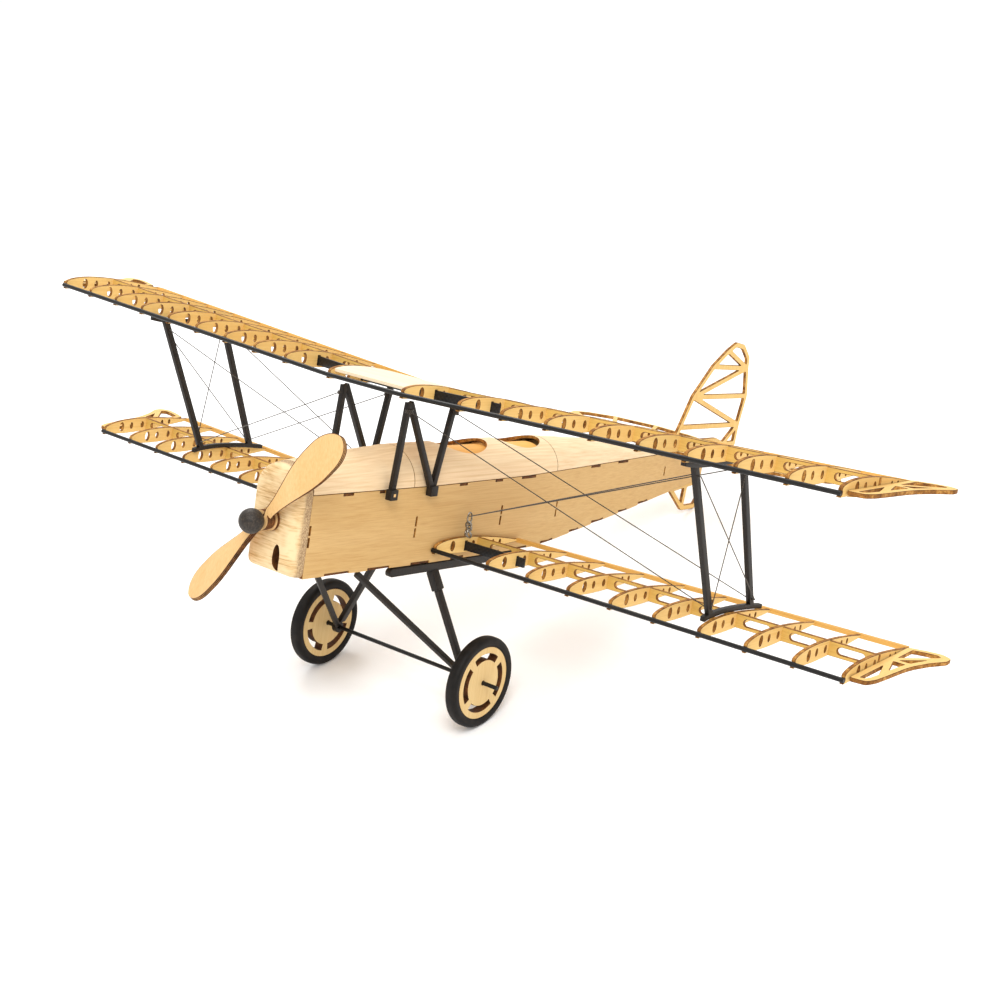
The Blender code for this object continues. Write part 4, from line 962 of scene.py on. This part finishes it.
class BIPLANE_OT_fuselage_sides(bpy.types.Operator):
    """Slotted ply sides, the tabs in their slots, and the flat bottom"""
    bl_idname = "biplane.fuselage_sides"
    bl_label = "Fuselage sides and bottom"

    def execute(self, context):
        for side_name, side in SIDES.items():
            node_name = f"side_panel_{side_name}"
            piece(f"slotted_side_{side_name}", side_panel(side), ("skin", "burnt"), node_name)
            piece(f"frame_tabs_{side_name}", tabs(side), ("scorch",), node_name)
        rings = []
        for at, half, _, low in FUSELAGE[:-1]:
            inner = half - SIDE_PLY - 0.05
            rings.append([(inner, at, low + SIDE_PLY), (inner, at, low), (-inner, at, low),
                          (-inner, at, low + SIDE_PLY)])
        piece("flat_bottom", loft(rings, 0.08), ("skin",), "bottom_panel")
        return {"FINISHED"}


class BIPLANE_OT_decks(bpy.types.Operator):
    """Three bent balsa decks, with the two cockpit openings cut in the middle one"""
    bl_idname = "biplane.decks"
    bl_label = "Decks and cockpits"

    def execute(self, context):
        piece("bent_deck_front", deck(DECK_JOINTS[0], DECK_JOINTS[1]), ("balsa", "scorch"), "deck_front")
        cutters = []
        for middle, long, wide in COCKPITS:
            loop = circle(wide, 56, (0.0, middle), squash=long / wide)
            cutters.append(finished_with(loft([[(a, b, z) for a, b in loop]
                                               for z in (ridge(middle) - 8, ridge(middle) + 8)]), 1))
        openings = cut(deck(DECK_JOINTS[1], DECK_JOINTS[2]), joined(cutters))
        piece("bent_deck_cockpits", openings, ("balsa", "burnt"), "deck_cockpit")
        # Painted light: a sheet under the cockpit openings, its bright orange tone standing for lit insides
        # seen through them
        lining = [arch(at, 2.3) + list(reversed(arch(at, 2.9))) for at in range(40, 112, 4)]
        piece("cockpit_lining", loft(lining), ("lining",), "deck_cockpit")
        piece("bent_deck_rear", deck(DECK_JOINTS[2], DECK_JOINTS[3]), ("balsa", "scorch"), "deck_rear")
        return {"FINISHED"}


def nose_ring(at, shrink):
    half = half_width(at)
    low, edge, top = bottom_edge(at), top_edge(at), ridge(at)
    points = [(half * math.cos(math.pi * i / 24), edge + (top - edge) * math.sin(math.pi * i / 24))
              for i in range(25)]
    corner = [(2.4 * (1 - math.cos(a)), 2.4 * (1 - math.sin(a))) for a in angles(0, 91, 15)]
    points += [(-half + a, low + b) for a, b in corner]
    points += [(half - a, low + b) for a, b in reversed(corner)]
    middle = (top + low) / 2
    wide, high = 1 - shrink / half, 1 - shrink / ((top - low) / 2)
    return [(x * wide, at, middle + (z - middle) * high) for x, z in points]


class BIPLANE_OT_nose(bpy.types.Operator):
    """Sanded nose block with its oval intake and shaft hole"""
    bl_idname = "biplane.nose"
    bl_label = "Nose block"

    def execute(self, context):
        rear = FUSELAGE[0][0] - 0.1
        depth = NOSE_FRONT - rear
        steps = [(0.0, 0.0), (0.3, 0.25)] + [(0.35 + 0.65 * math.sin(a), 0.35 + 4.85 * (1 - math.cos(a)))
                                             for a in angles(15, 91, 15)]
        body = loft([nose_ring(rear + depth * share, shrink) for share, shrink in steps])
        intake = [[(4.2 + a, back, -61.4 + b) for a, b in circle(1.7, 28, squash=2.9)]
                  for back in (NOSE_FRONT - 2, NOSE_FRONT + 4)]
        bore = tube_along([(0, NOSE_FRONT - 2, THRUST_HEIGHT), (0, rear + 2, THRUST_HEIGHT)],
                          BUSH / 2 + CLEAR, 24)
        # The walls of the intake and of the bore take the dark scorch finish: partly a burnt cut, partly
        # painted shade inside the holes.
        body = cut(body, joined([finished_with(loft(intake), 1), finished_with(bore, 1)]))
        piece("sanded_nose", body, ("nose", "scorch"), "nose_block")
        return {"FINISHED"}


# ------------------------------------------------------------------ propeller and motor

def spun(bm, back):
    """A shape about its own shaft, turned to where the blades rest and put on the thrust line."""
    bm.transform(Matrix.Rotation(math.radians(PROP_REST), 4, "Y"))
    return moved(bm, (0, back, THRUST_HEIGHT))


def blade_section(share):
    """Chord and thickness of the blade at a share of its length from the shaft."""
    swell = min(max((share - 0.06) / 0.62, 0.0), 1.0)
    chord = PROP_WAIST + (PROP_CHORD - PROP_WAIST) * swell * swell * (3 - 2 * swell)
    if share > 0.74:
        chord *= math.sqrt(max(1 - ((share - 0.74) / 0.262) ** 2.4, 0.0))
    return chord, 2.6 - 1.2 * share


def lamination(layer):
    """One of the three plies of the airscrew, fanned a little past its neighbour."""
    bm = bmesh.new()
    shares = [math.sin(math.pi / 2 * i / 30) for i in range(31)]
    rows = []
    for share in [-s for s in reversed(shares[1:])] + shares:
        chord, thick = blade_section(abs(share))
        side = 1 if share >= 0 else -1
        turn = math.radians(BLADE_PITCH[0] + (BLADE_PITCH[1] - BLADE_PITCH[0]) * abs(share))
        blend = min(abs(share) / 0.1, 1.0)
        turn = math.pi / 2 + (turn - math.pi / 2) * blend
        chord = min(chord, (HUB_THICKNESS - 0.3) + (chord - HUB_THICKNESS + 0.3) * blend)
        thick = thick * 0.84 + (3.9 - thick * 0.84) * (1 - blend)
        along = Vector((side * math.cos(turn), math.sin(turn), 0))
        normal = Vector((-math.sin(turn), side * math.cos(turn), 0))
        lift = thick / 3 * layer
        shift = 0.4 * layer * abs(share)
        middle = Vector((0, 0, share * (PROP_RADIUS - 0.6))) + normal * lift + along * shift
        half, rim = chord / 2 - 0.4 * blend, min(0.25, chord * 0.2)
        ply = thick / 6 - 0.02
        shape = ((half, ply * 0.6), (half - rim, ply), (0.0, ply), (rim - half, ply), (-half, ply * 0.6),
                 (-half, -ply * 0.6), (rim - half, -ply), (0.0, -ply), (half - rim, -ply), (half, -ply * 0.6))
        rows.append([bm.verts.new(middle + along * a + normal * b) for a, b in shape])
    pale_or_burnt = (1, 0, 0, 1, 1, 1, 0, 0, 1, 1)
    for near, far in zip(rows, rows[1:]):
        skirt(bm, near, far, pale_or_burnt)
    for cap in (rows[0], rows[-1]):
        bm.faces.new(cap).material_index = 1
    return bm


def washer(front, rear, outer, inner):
    """A ply disc on the shaft: pale faces, burnt rim."""
    profile = [(inner, front), (outer - 0.1, front), (outer, front + 0.12), (outer, rear - 0.12),
               (outer - 0.1, rear), (inner, rear)]
    bm = turned(profile, 40)
    bm.normal_update()
    for face in bm.faces:
        face.material_index = 0 if abs(face.normal.x) > 0.9 else 1
    bm.transform(Matrix.Rotation(math.radians(90), 4, "Z"))
    return bm


class BIPLANE_OT_propeller(bpy.types.Operator):
    """Carved blades and hub, thrust washers, spinner ball and wire shaft"""
    bl_idname = "biplane.propeller"
    bl_label = "Propeller and shaft"

    def execute(self, context):
        hub = washer(-HUB_THICKNESS / 2, HUB_THICKNESS / 2, 3.7, SHAFT / 2 + 0.1)
        piece("carved_blades", spun(joined([*[lamination(layer) for layer in (-1, 0, 1)], hub]), HUB_MIDDLE),
              ("ply_pale", "scorch"), "propeller", "propeller")
        disc = washer(WASHER_REAR - WASHER_THICKNESS, WASHER_REAR, WASHER / 2 - 0.8, SHAFT / 2 + 0.1)
        piece("turning_washer", moved(disc, (0, 0, THRUST_HEIGHT)), ("ply_pale", "scorch"), "thrust_washer",
              "propeller")
        plate = washer(BUSH_FACE, BUSH_FACE + WASHER_THICKNESS, WASHER / 2, SHAFT / 2 + 0.1)
        sleeve = washer(NOSE_FRONT - CLEAR - 0.3, FUSELAGE[0][0] + 1.0 + PLY, BUSH / 2, SHAFT / 2 + 0.1)
        bush = moved(joined([plate, sleeve]), (0, 0, THRUST_HEIGHT))
        piece("nose_bush", bush, ("ply_pale", "scorch"), "bearing_bush")
        ball = bmesh.new()
        bmesh.ops.create_uvsphere(ball, u_segments=48, v_segments=28, radius=SPINNER / 2)
        for vert in ball.verts:
            vert.co.y = min(vert.co.y, SPINNER / 2 - 0.5)
        piece("painted_spinner", moved(ball, (0, SPINNER_AT, THRUST_HEIGHT)), ("charcoal",), "spinner_ball",
              "propeller")
        wire = tube_along([(0, SPINNER_AT + 2.0, THRUST_HEIGHT), (0, HOOK_AT - 2.4, THRUST_HEIGHT)],
                          SHAFT / 2, 16)
        hook = ring_about((0, HOOK_AT, THRUST_HEIGHT), HOOK_RADIUS, HOOK_RADIUS, SHAFT, (1, 0, 0), (0, 1, 0))
        piece("wire_shaft", joined([wire, hook]), ("steel",), "prop_shaft", "propeller")
        return {"FINISHED"}


def rubber_loop(stations=60):
    """A flat strip from the hook ring round the peg and back, in short lengths so that it can twist."""
    half = PEG / 2 + CLEAR + STRIP_THICK / 2
    front = HOOK_AT
    runs = [front + (PEG_AT - front) * i / stations for i in range(stations + 1)]
    bend = [(PEG_AT + half * math.sin(math.pi * i / 12), -half * math.cos(math.pi * i / 12))
            for i in range(1, 12)]
    path = [(y, -half) for y in runs] + bend + [(y, half) for y in reversed(runs)]
    path += [(front, half - 2 * half * i / 6) for i in range(1, 6)]
    bm = bmesh.new()
    rows = []
    for i, here in enumerate(path):
        ahead = (Vector(path[(i + 1) % len(path)]) - Vector(path[i - 1])).normalized()
        out = Vector((ahead.y, -ahead.x)) * STRIP_THICK / 2
        rows.append([bm.verts.new((STRIP_WIDE / 2 * side, here[0] + out.x * face, here[1] + out.y * face))
                     for side, face in BOX_CORNERS])
    return moved(hoop(bm, rows), (0, 0, THRUST_HEIGHT))


class BIPLANE_OT_motor(bpy.types.Operator):
    """Rubber loop, its peg, and the frames inside the fuselage"""
    bl_idname = "biplane.motor"
    bl_label = "Rubber motor and frames"

    def execute(self, context):
        dress(frame["nodes"]["rubber_peg"], "balsa_x")
        loop = piece("rubber_loop", rubber_loop(), ("strip",), "rubber_band", body=None)
        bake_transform(loop)
        for node_name in frame["nodes"]:
            if node_name.startswith("former_"):
                dress(frame["nodes"][node_name], "skin")
        return {"FINISHED"}


def dress(found, finish):
    """A carried-over CAD solid gets a procedural finish."""
    for slot in found.material_slots:
        slot.material = materials()[finish]


# ------------------------------------------------------------------ undercarriage

def boss_at(side):
    return Vector((side * LEG_X, HUB.y, HUB.z))


class BIPLANE_OT_gear(bpy.types.Operator):
    """Stained legs with their axle bosses, the rails under the fuselage and the axle"""
    bl_idname = "biplane.gear"
    bl_label = "Gear legs, rails and axle"

    def execute(self, context):
        for side_name, side in SIDES.items():
            boss = boss_at(side)
            top = Vector((side * (half_width(-3.5) - 1.2), -3.5, bottom_edge(-3.5) - CLEAR))
            leg = bar(boss + (top - boss).normalized(), top - Vector((0, 0, 0.5)), 2.2, 1.8, (0, 1, 0))
            drum = turned([(1.05, -1.2), (LEG_BOSS / 2 - 0.2, -1.2), (LEG_BOSS / 2, -1.0),
                           (LEG_BOSS / 2, 1.0), (LEG_BOSS / 2 - 0.2, 1.2), (1.05, 1.2)], 36)
            piece(f"front_leg_{side_name}", joined([leg, moved(drum, boss)]), ("black",),
                  f"gear_leg_front_{side_name}")
            front, rear, height, width = RAIL
            top = Vector((side * (HALF_WIDTH - width / 2), 39.5, RAIL_TOP - height - 0.1))
            along = (top - boss).normalized()
            leg = bar(boss + along * (LEG_BOSS / 2 + 1.2), top, 2.9, 2.0, (0, 1, 0))
            collar = bar(top - along * 8.0, top, 4.2, 3.3, (0, 1, 0), 0.5)
            piece(f"rear_leg_{side_name}", joined([leg, collar]), ("black",), f"gear_leg_rear_{side_name}")
            centre = RAIL_TOP - height / 2
            nose = [(front + height / 2 - height / 2 * math.sin(a), centre + height / 2 * math.cos(a))
                    for a in [math.pi * i / 12 for i in range(13)]]
            bm = softened(loft([[(x, a, b) for a, b in nose + [(rear, RAIL_TOP - height), (rear, RAIL_TOP)]]
                                for x in (-width / 2, width / 2)]), 0.25)
            piece(f"rail_{side_name}", moved(bm, (side * (HALF_WIDTH - width / 2), 0, 0)), ("black",),
                  f"gear_rail_{side_name}")
        ends = [Vector((x, HUB.y, HUB.z)) for x in (-AXLE_HALF, AXLE_HALF)]
        rod = softened(tube_along(ends, AXLE / 2, 28), 0.15, 60)
        piece("carbon_axle", rod, ("carbon",), "axle")
        return {"FINISHED"}


class BIPLANE_OT_wheels(bpy.types.Operator):
    """Slotted ply wheels in moulded rubber tyres"""
    bl_idname = "biplane.wheels"
    bl_label = "Wheels and tyres"

    def execute(self, context):
        for side_name, side in SIDES.items():
            body, hub = f"wheel_{side_name}", Vector((side * HUB.x, HUB.y, HUB.z))
            half = TYRE_WIDTH / 2
            profile = [(TYRE_BEAD + 0.1, -half * 0.8), (TYRE_BEAD + 0.7, -half * 0.94)]
            profile += [(TYRE_BEAD + 1.9 + 1.8 * math.sin(a), -half * math.cos(a) ** 0.6)
                        for a in angles(0, 90, 9)]
            profile += [(r, -x) for r, x in reversed(profile)]
            piece(f"moulded_tyre_{side_name}", moved(turned(profile, 96), hub), ("tyre",),
                  f"tyre_{side_name}", body)
            start_turn = math.radians(45 if side > 0 else 0)
            holes = [circle(AXLE / 2 + 0.1, 28)]
            for quarter in range(4):
                start = start_turn + quarter * math.pi / 2 + math.radians(9)
                sweep = [start + math.radians(72) * i / 18 for i in range(19)]
                inner, outer = SLOT_RADII
                holes.append([(outer * math.cos(a), outer * math.sin(a)) for a in sweep]
                             + [(inner * math.cos(a), inner * math.sin(a)) for a in reversed(sweep)])
            disc = cut_sheet(circle(TYRE_BEAD + 0.05, 96), WHEEL_THICKNESS, holes, ALONG_YZ)
            piece(f"slotted_wheel_{side_name}", moved(disc, hub), ("wheel", "scorch", "scorch"),
                  f"wheel_disc_{side_name}", body)
        return {"FINISHED"}


# ------------------------------------------------------------------ struts

def plate_point(wing, back, inside):
    """A point of a side frame's plate, so far in from the face that lies along the wing's ribs."""
    top, bottom = rib_heights(back)
    up = bottom - 0.1 - inside if wing.upper else top + 0.1 + inside
    place = wing.point(STRUT_OUT - wing.root, back, up)
    place.x = wing.side * STRUT_OUT
    return place


def strut_lines(lower, upper):
    return [
        (plate_point(lower, foot, STRUT_PLATE[2] / 2), plate_point(upper, head, STRUT_PLATE[2] / 2))
        for foot, head in zip(STRUT_FEET, STRUT_HEADS)
    ]


def strut_eyes(foot, head):
    along = (head - foot).normalized()
    return foot + along * 3.4, head - along * 4.2


def strut_frame(side):
    """Two curved plates and two struts, drilled for the rigging."""
    lower, upper = WINGS[side, False], WINGS[side, True]
    front, rear, depth = STRUT_PLATE
    stations = [front + (rear - front) * i / 24 for i in range(25)]
    parts = []
    for wing in (lower, upper):
        near = [plate_point(wing, back, 0.0) for back in stations]
        far = [plate_point(wing, back, depth) for back in reversed(stations)]
        loop = [(p.y, p.z) for p in near + far]
        plate = softened(loft([[(x, a, b) for a, b in loop] for x in (-BLACK_PLY / 2, BLACK_PLY / 2)]), 0.2)
        parts.append(moved(plate, (side * STRUT_OUT, 0, 0)))
    for foot, head in strut_lines(lower, upper):
        strut = bar(foot, head, STRUT_WIDTH, BLACK_PLY - 0.1, (0, 1, 0), 0.35)
        drills = [tube_along([place - Vector((3, 0, 0)), place + Vector((3, 0, 0))], 0.45, 14)
                  for place in strut_eyes(foot, head)]
        parts.append(cut(strut, joined(drills)))
    return joined(parts)


def cabane_line(side, back, top):
    if top:
        x = CENTRE_HALF - PLY / 2 - CLEAR - BLACK_PLY / 2
        return Vector((side * x, back, rib_heights(back)[1] - CLEAR - 1.0 - 4.0 * back / CHORD))
    x = HALF_WIDTH + CLEAR + BLACK_PLY / 2
    return Vector((side * x, back, top_edge(back) - FOOT_BLOCK / 4))


class BIPLANE_OT_struts(bpy.types.Operator):
    """Side frames between the wings, and the cabane struts with their foot blocks"""
    bl_idname = "biplane.struts"
    bl_label = "Struts"

    def execute(self, context):
        for side_name, side in SIDES.items():
            piece(f"side_frame_{side_name}", strut_frame(side), ("black",), f"interplane_frame_{side_name}")
            feet = [cabane_line(side, back, False) for back in CABANE_FEET]
            tops = [cabane_line(side, back, True) for back in CABANE_TOPS]
            runs = ((feet[0], tops[0]), (feet[1], tops[0] + Vector((0, 0.9, 0))), (feet[1], tops[1]))
            parts = [bar(a, b, CABANE_WIDTH, BLACK_PLY, (0, 1, 0), 0.3) for a, b in runs]
            for foot in feet:
                middle = foot + Vector((side * 0.4, 0, 0))
                reach = Vector((0, FOOT_BLOCK / 2, 0))
                parts.append(bar(middle - reach, middle + reach, BLACK_PLY + 0.8, FOOT_BLOCK, (1, 0, 0),
                                 0.35))
            face = feet[0] + Vector((side * (0.4 + BLACK_PLY / 2 + 0.36), 0, 0))
            reach = Vector((0, 0.55, 0))
            parts.append(finished_with(bar(face - reach, face + reach, 0.3, 1.1, (1, 0, 0), 0.05), 1))
            piece(f"cabane_{side_name}", joined(parts), ("black", "ply_pale"), f"cabane_frame_{side_name}")
        return {"FINISHED"}


# ------------------------------------------------------------------ tail

def tailplane_shape():
    half, front, rear = TAILPLANE_HALF, TAILPLANE_FRONT, TAILPLANE_REAR
    port = [
        (0.0, front), (half * 0.30, front + 3.5), (half * 0.62, front + 11.0), (half * 0.86, front + 20.0),
        (half * 0.97, front + 28.0), (half, front + 36.0), (half * 0.96, rear - 12.0),
        (half * 0.80, rear - 4.0),
        (half * 0.5, rear), (half * 0.22, rear - 2.0), (half * 0.12, rear - 5.0), (half * 0.075, rear - 12.0),
    ]
    rim = port + [(-x, y) for x, y in reversed(port[1:])]
    cells = []
    for side in (1, -1):
        p = [(side * x, y) for x, y in port]
        knots = [(side * half * share, rear - 25.0) for share in (0.075, 0.34, 0.62, 0.9)]
        cells += [
            [(side * TAIL_BAR * 0.75, p[0][1]), p[1], knots[1], knots[0]],
            [p[1], p[2], knots[2], knots[1]],
            [p[2], p[3], p[4], knots[3], knots[2]],
            [knots[0], knots[1], p[8], p[9], p[10], p[11]],
            [knots[1], knots[2], p[7], p[8]],
            [knots[2], knots[3], p[5], p[6], p[7]],
        ]
    return truss(rim, cells, TAIL_BAR, PLY, ALONG_XY)


def fin_shape():
    foot = top_edge(TAILPLANE_FRONT) + 2 * CLEAR + PLY + TAIL_BAR / 2
    rim = [
        (223.0, foot), (227.2, -25.2), (234.6, -10.8), (248.6, 3.6), (260.2, 11.2), (266.6, 14.3),
        (273.6, 13.2), (280.0, 7.6), (280.6, 2.6), (284.3, -11.2), (281.4, -25.6), (281.0, -35.0),
        (269.8, -35.0), (262.0, foot),
    ]
    base, low, high = rim[0], rim[10], rim[8]
    cells = [
        [base, rim[1], low, rim[12], rim[13]], [rim[12], low, rim[11]], [rim[1], rim[2], low],
        [rim[2], rim[9], low],
        [rim[2], high, rim[9]], [rim[2], rim[3], high], [rim[3], rim[4], high], [*rim[4:9]],
    ]
    return truss(rim, cells, TAIL_BAR, PLY, ALONG_YZ)


def skid_shape():
    depth = CLEAR + TAIL_BAR / 2
    front, knot, rear = (SKID_FRONT + offset for offset in (0.0, 13.3, 22.4))
    rim = [
        (front, bottom_edge(front) - depth), (SKID_FRONT + 12.7, SKID_LOW),
        (SKID_FRONT + 23.7, SKID_LOW + 0.2),
        (SKID_FRONT + 27.4, SKID_LOW + 5.2), (SKID_FRONT + 25.4, SKID_LOW + 10.6),
        (rear, bottom_edge(rear) - depth),
        (knot, bottom_edge(knot) - depth),
    ]
    return truss(rim, [[rim[0], rim[1], rim[6]], [rim[6], *rim[1:6]]], TAIL_BAR, PLY, ALONG_YZ)


class BIPLANE_OT_tail(bpy.types.Operator):
    """Tailplane, fin with rudder, and tail skid, each one open frame"""
    bl_idname = "biplane.tail"
    bl_label = "Tail frames"

    def execute(self, context):
        height = top_edge(TAILPLANE_FRONT) + CLEAR + PLY / 2
        piece("open_tailplane", moved(tailplane_shape(), (0, 0, height)), ("ply_x", "burnt", "scorch"),
              "tailplane")
        piece("open_fin", fin_shape(), ("ply_z", "burnt", "scorch"), "fin_rudder")
        piece("open_skid", skid_shape(), CUT_PLY, "tail_skid")
        return {"FINISHED"}


# ------------------------------------------------------------------ rigging

def thread_route(side):
    """One thread a side: cabane, front foot, rear head, ring, front head, rear foot, cabane."""
    lines = strut_lines(WINGS[side, False], WINGS[side, True])
    (front_foot, front_head), (rear_foot, rear_head) = [strut_eyes(*line) for line in lines]
    face = BLACK_PLY / 2 + THREAD / 2 + 0.1
    outer, outer_two = Vector((side * face, 0, 0)), Vector((side * (face + 2 * THREAD), 0, 0))
    ring = Vector((side * RING_AT.x, RING_AT.y, RING_AT.z))
    tops = [cabane_line(side, back, True) + Vector((side * 0.2, 0, -3.2)) for back in CABANE_TOPS]
    clear = Vector((side * (BLACK_PLY / 2 + 0.35), 0, 0))
    turn = THREAD * 1.1
    return [
        tops[0] + clear, front_foot - outer, front_foot + outer, rear_head + outer, rear_head - outer,
        ring + Vector((side * turn, turn, turn * 0.4)), ring + Vector((-side * turn * 0.4, turn * 0.6, 0)),
        ring + Vector((-side * turn * 0.4, -turn * 0.6, 0)), ring + Vector((side * turn, -turn, turn * 0.4)),
        front_head - outer, front_head + outer_two, rear_foot + outer_two, rear_foot - outer, tops[1] + clear,
    ]


def knot(at, side):
    """Three turns of thread pulled tight round the head of a cabane strut."""
    return [ring_about(at + Vector((-side * 0.85, 0, 0.45 * (i - 1))), 1.55, 1.35, THREAD, (1, 0, 0.05 * i),
                       (0, 1, 0), 24, 6) for i in range(3)]


class BIPLANE_OT_rigging(bpy.types.Operator):
    """Rigging threads with their knots, and the small chains that tension them"""
    bl_idname = "biplane.rigging"
    bl_label = "Rigging"

    def execute(self, context):
        for side_name, side in SIDES.items():
            route = thread_route(side)
            runs = [tube_along([a, b], THREAD / 2, 8) for a, b in zip(route, route[1:])]
            parts = runs + knot(route[0], side) + knot(route[-1], side)
            piece(f"taut_thread_{side_name}", joined(parts), ("thread",), f"rigging_thread_{side_name}")
            ring = Vector((side * RING_AT.x, RING_AT.y, RING_AT.z))
            low = -WING_GAP + rib_heights(RING_AT.y - STAGGER)[0] + 1.3
            anchor = Vector((side * (HALF_WIDTH + CLEAR + PLY + 1.6), RING_AT.y + 1.4, low))
            hang = (anchor - ring).normalized()
            links = [ring_about(ring + hang * (RING_LONG - 1.6), RING_LONG, 1.3, 0.7, hang, (0, 1, 0))]
            at = 2 * RING_LONG - 1.6
            step = 0
            while at < (anchor - ring).length - 0.4:
                lean = 0.8 * math.sin(2.4 * step)
                across = Vector(((1, 0.2, 0.3), (0.2, 1, 0), (0.8, -0.7, 0.2))[step % 3])
                middle = ring + hang * (at + 0.8) + Vector((0, lean, 0))
                links.append(ring_about(middle, 1.45, 1.1, 0.8, hang + Vector((0, lean * 0.5, 0)),
                                        across - hang * hang.dot(across)))
                at += 1.35
                step += 1
            piece(f"chain_links_{side_name}", joined(links), ("steel",), f"tension_chain_{side_name}")
        return {"FINISHED"}


# ------------------------------------------------------------------ stage

# The camera's place and view, in the airframe's own millimetres
EYE = Vector((409.7, -473.1, 92.1))
EYE_RIGHT = Vector((0.7825, 0.6035, 0.1532))
EYE_DOWN = Vector((0.2425, -0.0688, -0.9677))
EYE_AHEAD = Vector((-0.5735, 0.7944, -0.2002))


def area_light(name, place, target, size, power):
    lamp = bpy.data.lights.new(name, "AREA")
    lamp.shape, lamp.size, lamp.energy = "DISK", size, power
    made = bpy.data.objects.new(name, lamp)
    bpy.context.collection.objects.link(made)
    made.location = place
    made.rotation_euler = (Vector(target) - Vector(place)).to_track_quat("-Z", "Y").to_euler()


class BIPLANE_OT_stage(bpy.types.Operator):
    """Pale floor, soft lights and the camera"""
    bl_idname = "biplane.stage"
    bl_label = "Stage"

    def execute(self, context):
        scene = context.scene
        stage = scene.biplane_stage
        bm = bmesh.new()
        bmesh.ops.create_grid(bm, x_segments=1, y_segments=1, size=12.0)
        mesh = bpy.data.meshes.new("paper_floor")
        bm.to_mesh(mesh)
        bm.free()
        floor = bpy.data.objects.new("paper_floor", mesh)
        scene.collection.objects.link(floor)
        mesh.materials.append(paper_material(stage.floor_tone))

        world = scene.world or bpy.data.worlds.new("soft_studio")
        scene.world = world
        world.use_nodes = True
        sky = world.node_tree.nodes["Background"]
        sky.inputs["Color"].default_value = (1.0, 0.99, 0.975, 1.0)
        sky.inputs["Strength"].default_value = 0.95
        area_light("key_light", (0.7, -0.9, 1.5), (0.0, 0.0, 0.05), 0.9, stage.key_light * 2.0)
        area_light("rim_light", (-0.8, 0.5, 1.1), (0.0, 0.0, 0.05), 0.7, stage.key_light)

        lens = bpy.data.cameras.new("studio_camera")
        lens.sensor_width, lens.lens = 36.0, stage.lens
        lens.clip_start, lens.clip_end = 0.01, 30.0
        camera = bpy.data.objects.new("studio_camera", lens)
        scene.collection.objects.link(camera)
        turn = Matrix((EYE_RIGHT, -EYE_DOWN, -EYE_AHEAD)).transposed().to_4x4()
        camera.matrix_world = STAND @ Matrix.Translation(EYE * MM) @ turn
        scene.camera = camera
        scene.view_settings.view_transform = "Standard"
        scene.view_settings.look = "None"
        return {"FINISHED"}


# ------------------------------------------------------------------ panel and start

OPERATORS = (
    BIPLANE_OT_stage, BIPLANE_OT_wing_frames, BIPLANE_OT_wing_carbon, BIPLANE_OT_centre_sheet,
    BIPLANE_OT_fuselage_sides,
    BIPLANE_OT_decks, BIPLANE_OT_nose, BIPLANE_OT_propeller, BIPLANE_OT_motor, BIPLANE_OT_gear,
    BIPLANE_OT_wheels,
    BIPLANE_OT_struts, BIPLANE_OT_tail, BIPLANE_OT_rigging,
)


class BIPLANE_PT_finish(bpy.types.Panel):
    """Lists the biplane's pieces and their settings"""
    bl_label = "Biplane"
    bl_idname = "BIPLANE_PT_finish"
    bl_space_type = "VIEW_3D"
    bl_region_type = "UI"
    bl_category = "Biplane"

    def draw(self, context):
        for settings in (context.scene.biplane_wood, context.scene.biplane_stage):
            box = self.layout.box()
            for name in settings.bl_rna.properties.keys():
                if name not in ("rna_type", "name"):
                    box.prop(settings, name)
        for operator in OPERATORS:
            self.layout.operator(operator.bl_idname)


CLASSES = (BiplaneWoodSettings, BiplaneStageSettings, *OPERATORS, BIPLANE_PT_finish)


def register():
    for cls in CLASSES:
        bpy.utils.register_class(cls)
    bpy.types.Scene.biplane_wood = bpy.props.PointerProperty(type=BiplaneWoodSettings)
    bpy.types.Scene.biplane_stage = bpy.props.PointerProperty(type=BiplaneStageSettings)


def unregister():
    del bpy.types.Scene.biplane_stage
    del bpy.types.Scene.biplane_wood
    for cls in reversed(CLASSES):
        bpy.utils.unregister_class(cls)


def main():
    register()
    for operator in OPERATORS:
        group, name = operator.bl_idname.split(".")
        getattr(getattr(bpy.ops, group), name)()


if __name__ == "__main__":
    main()
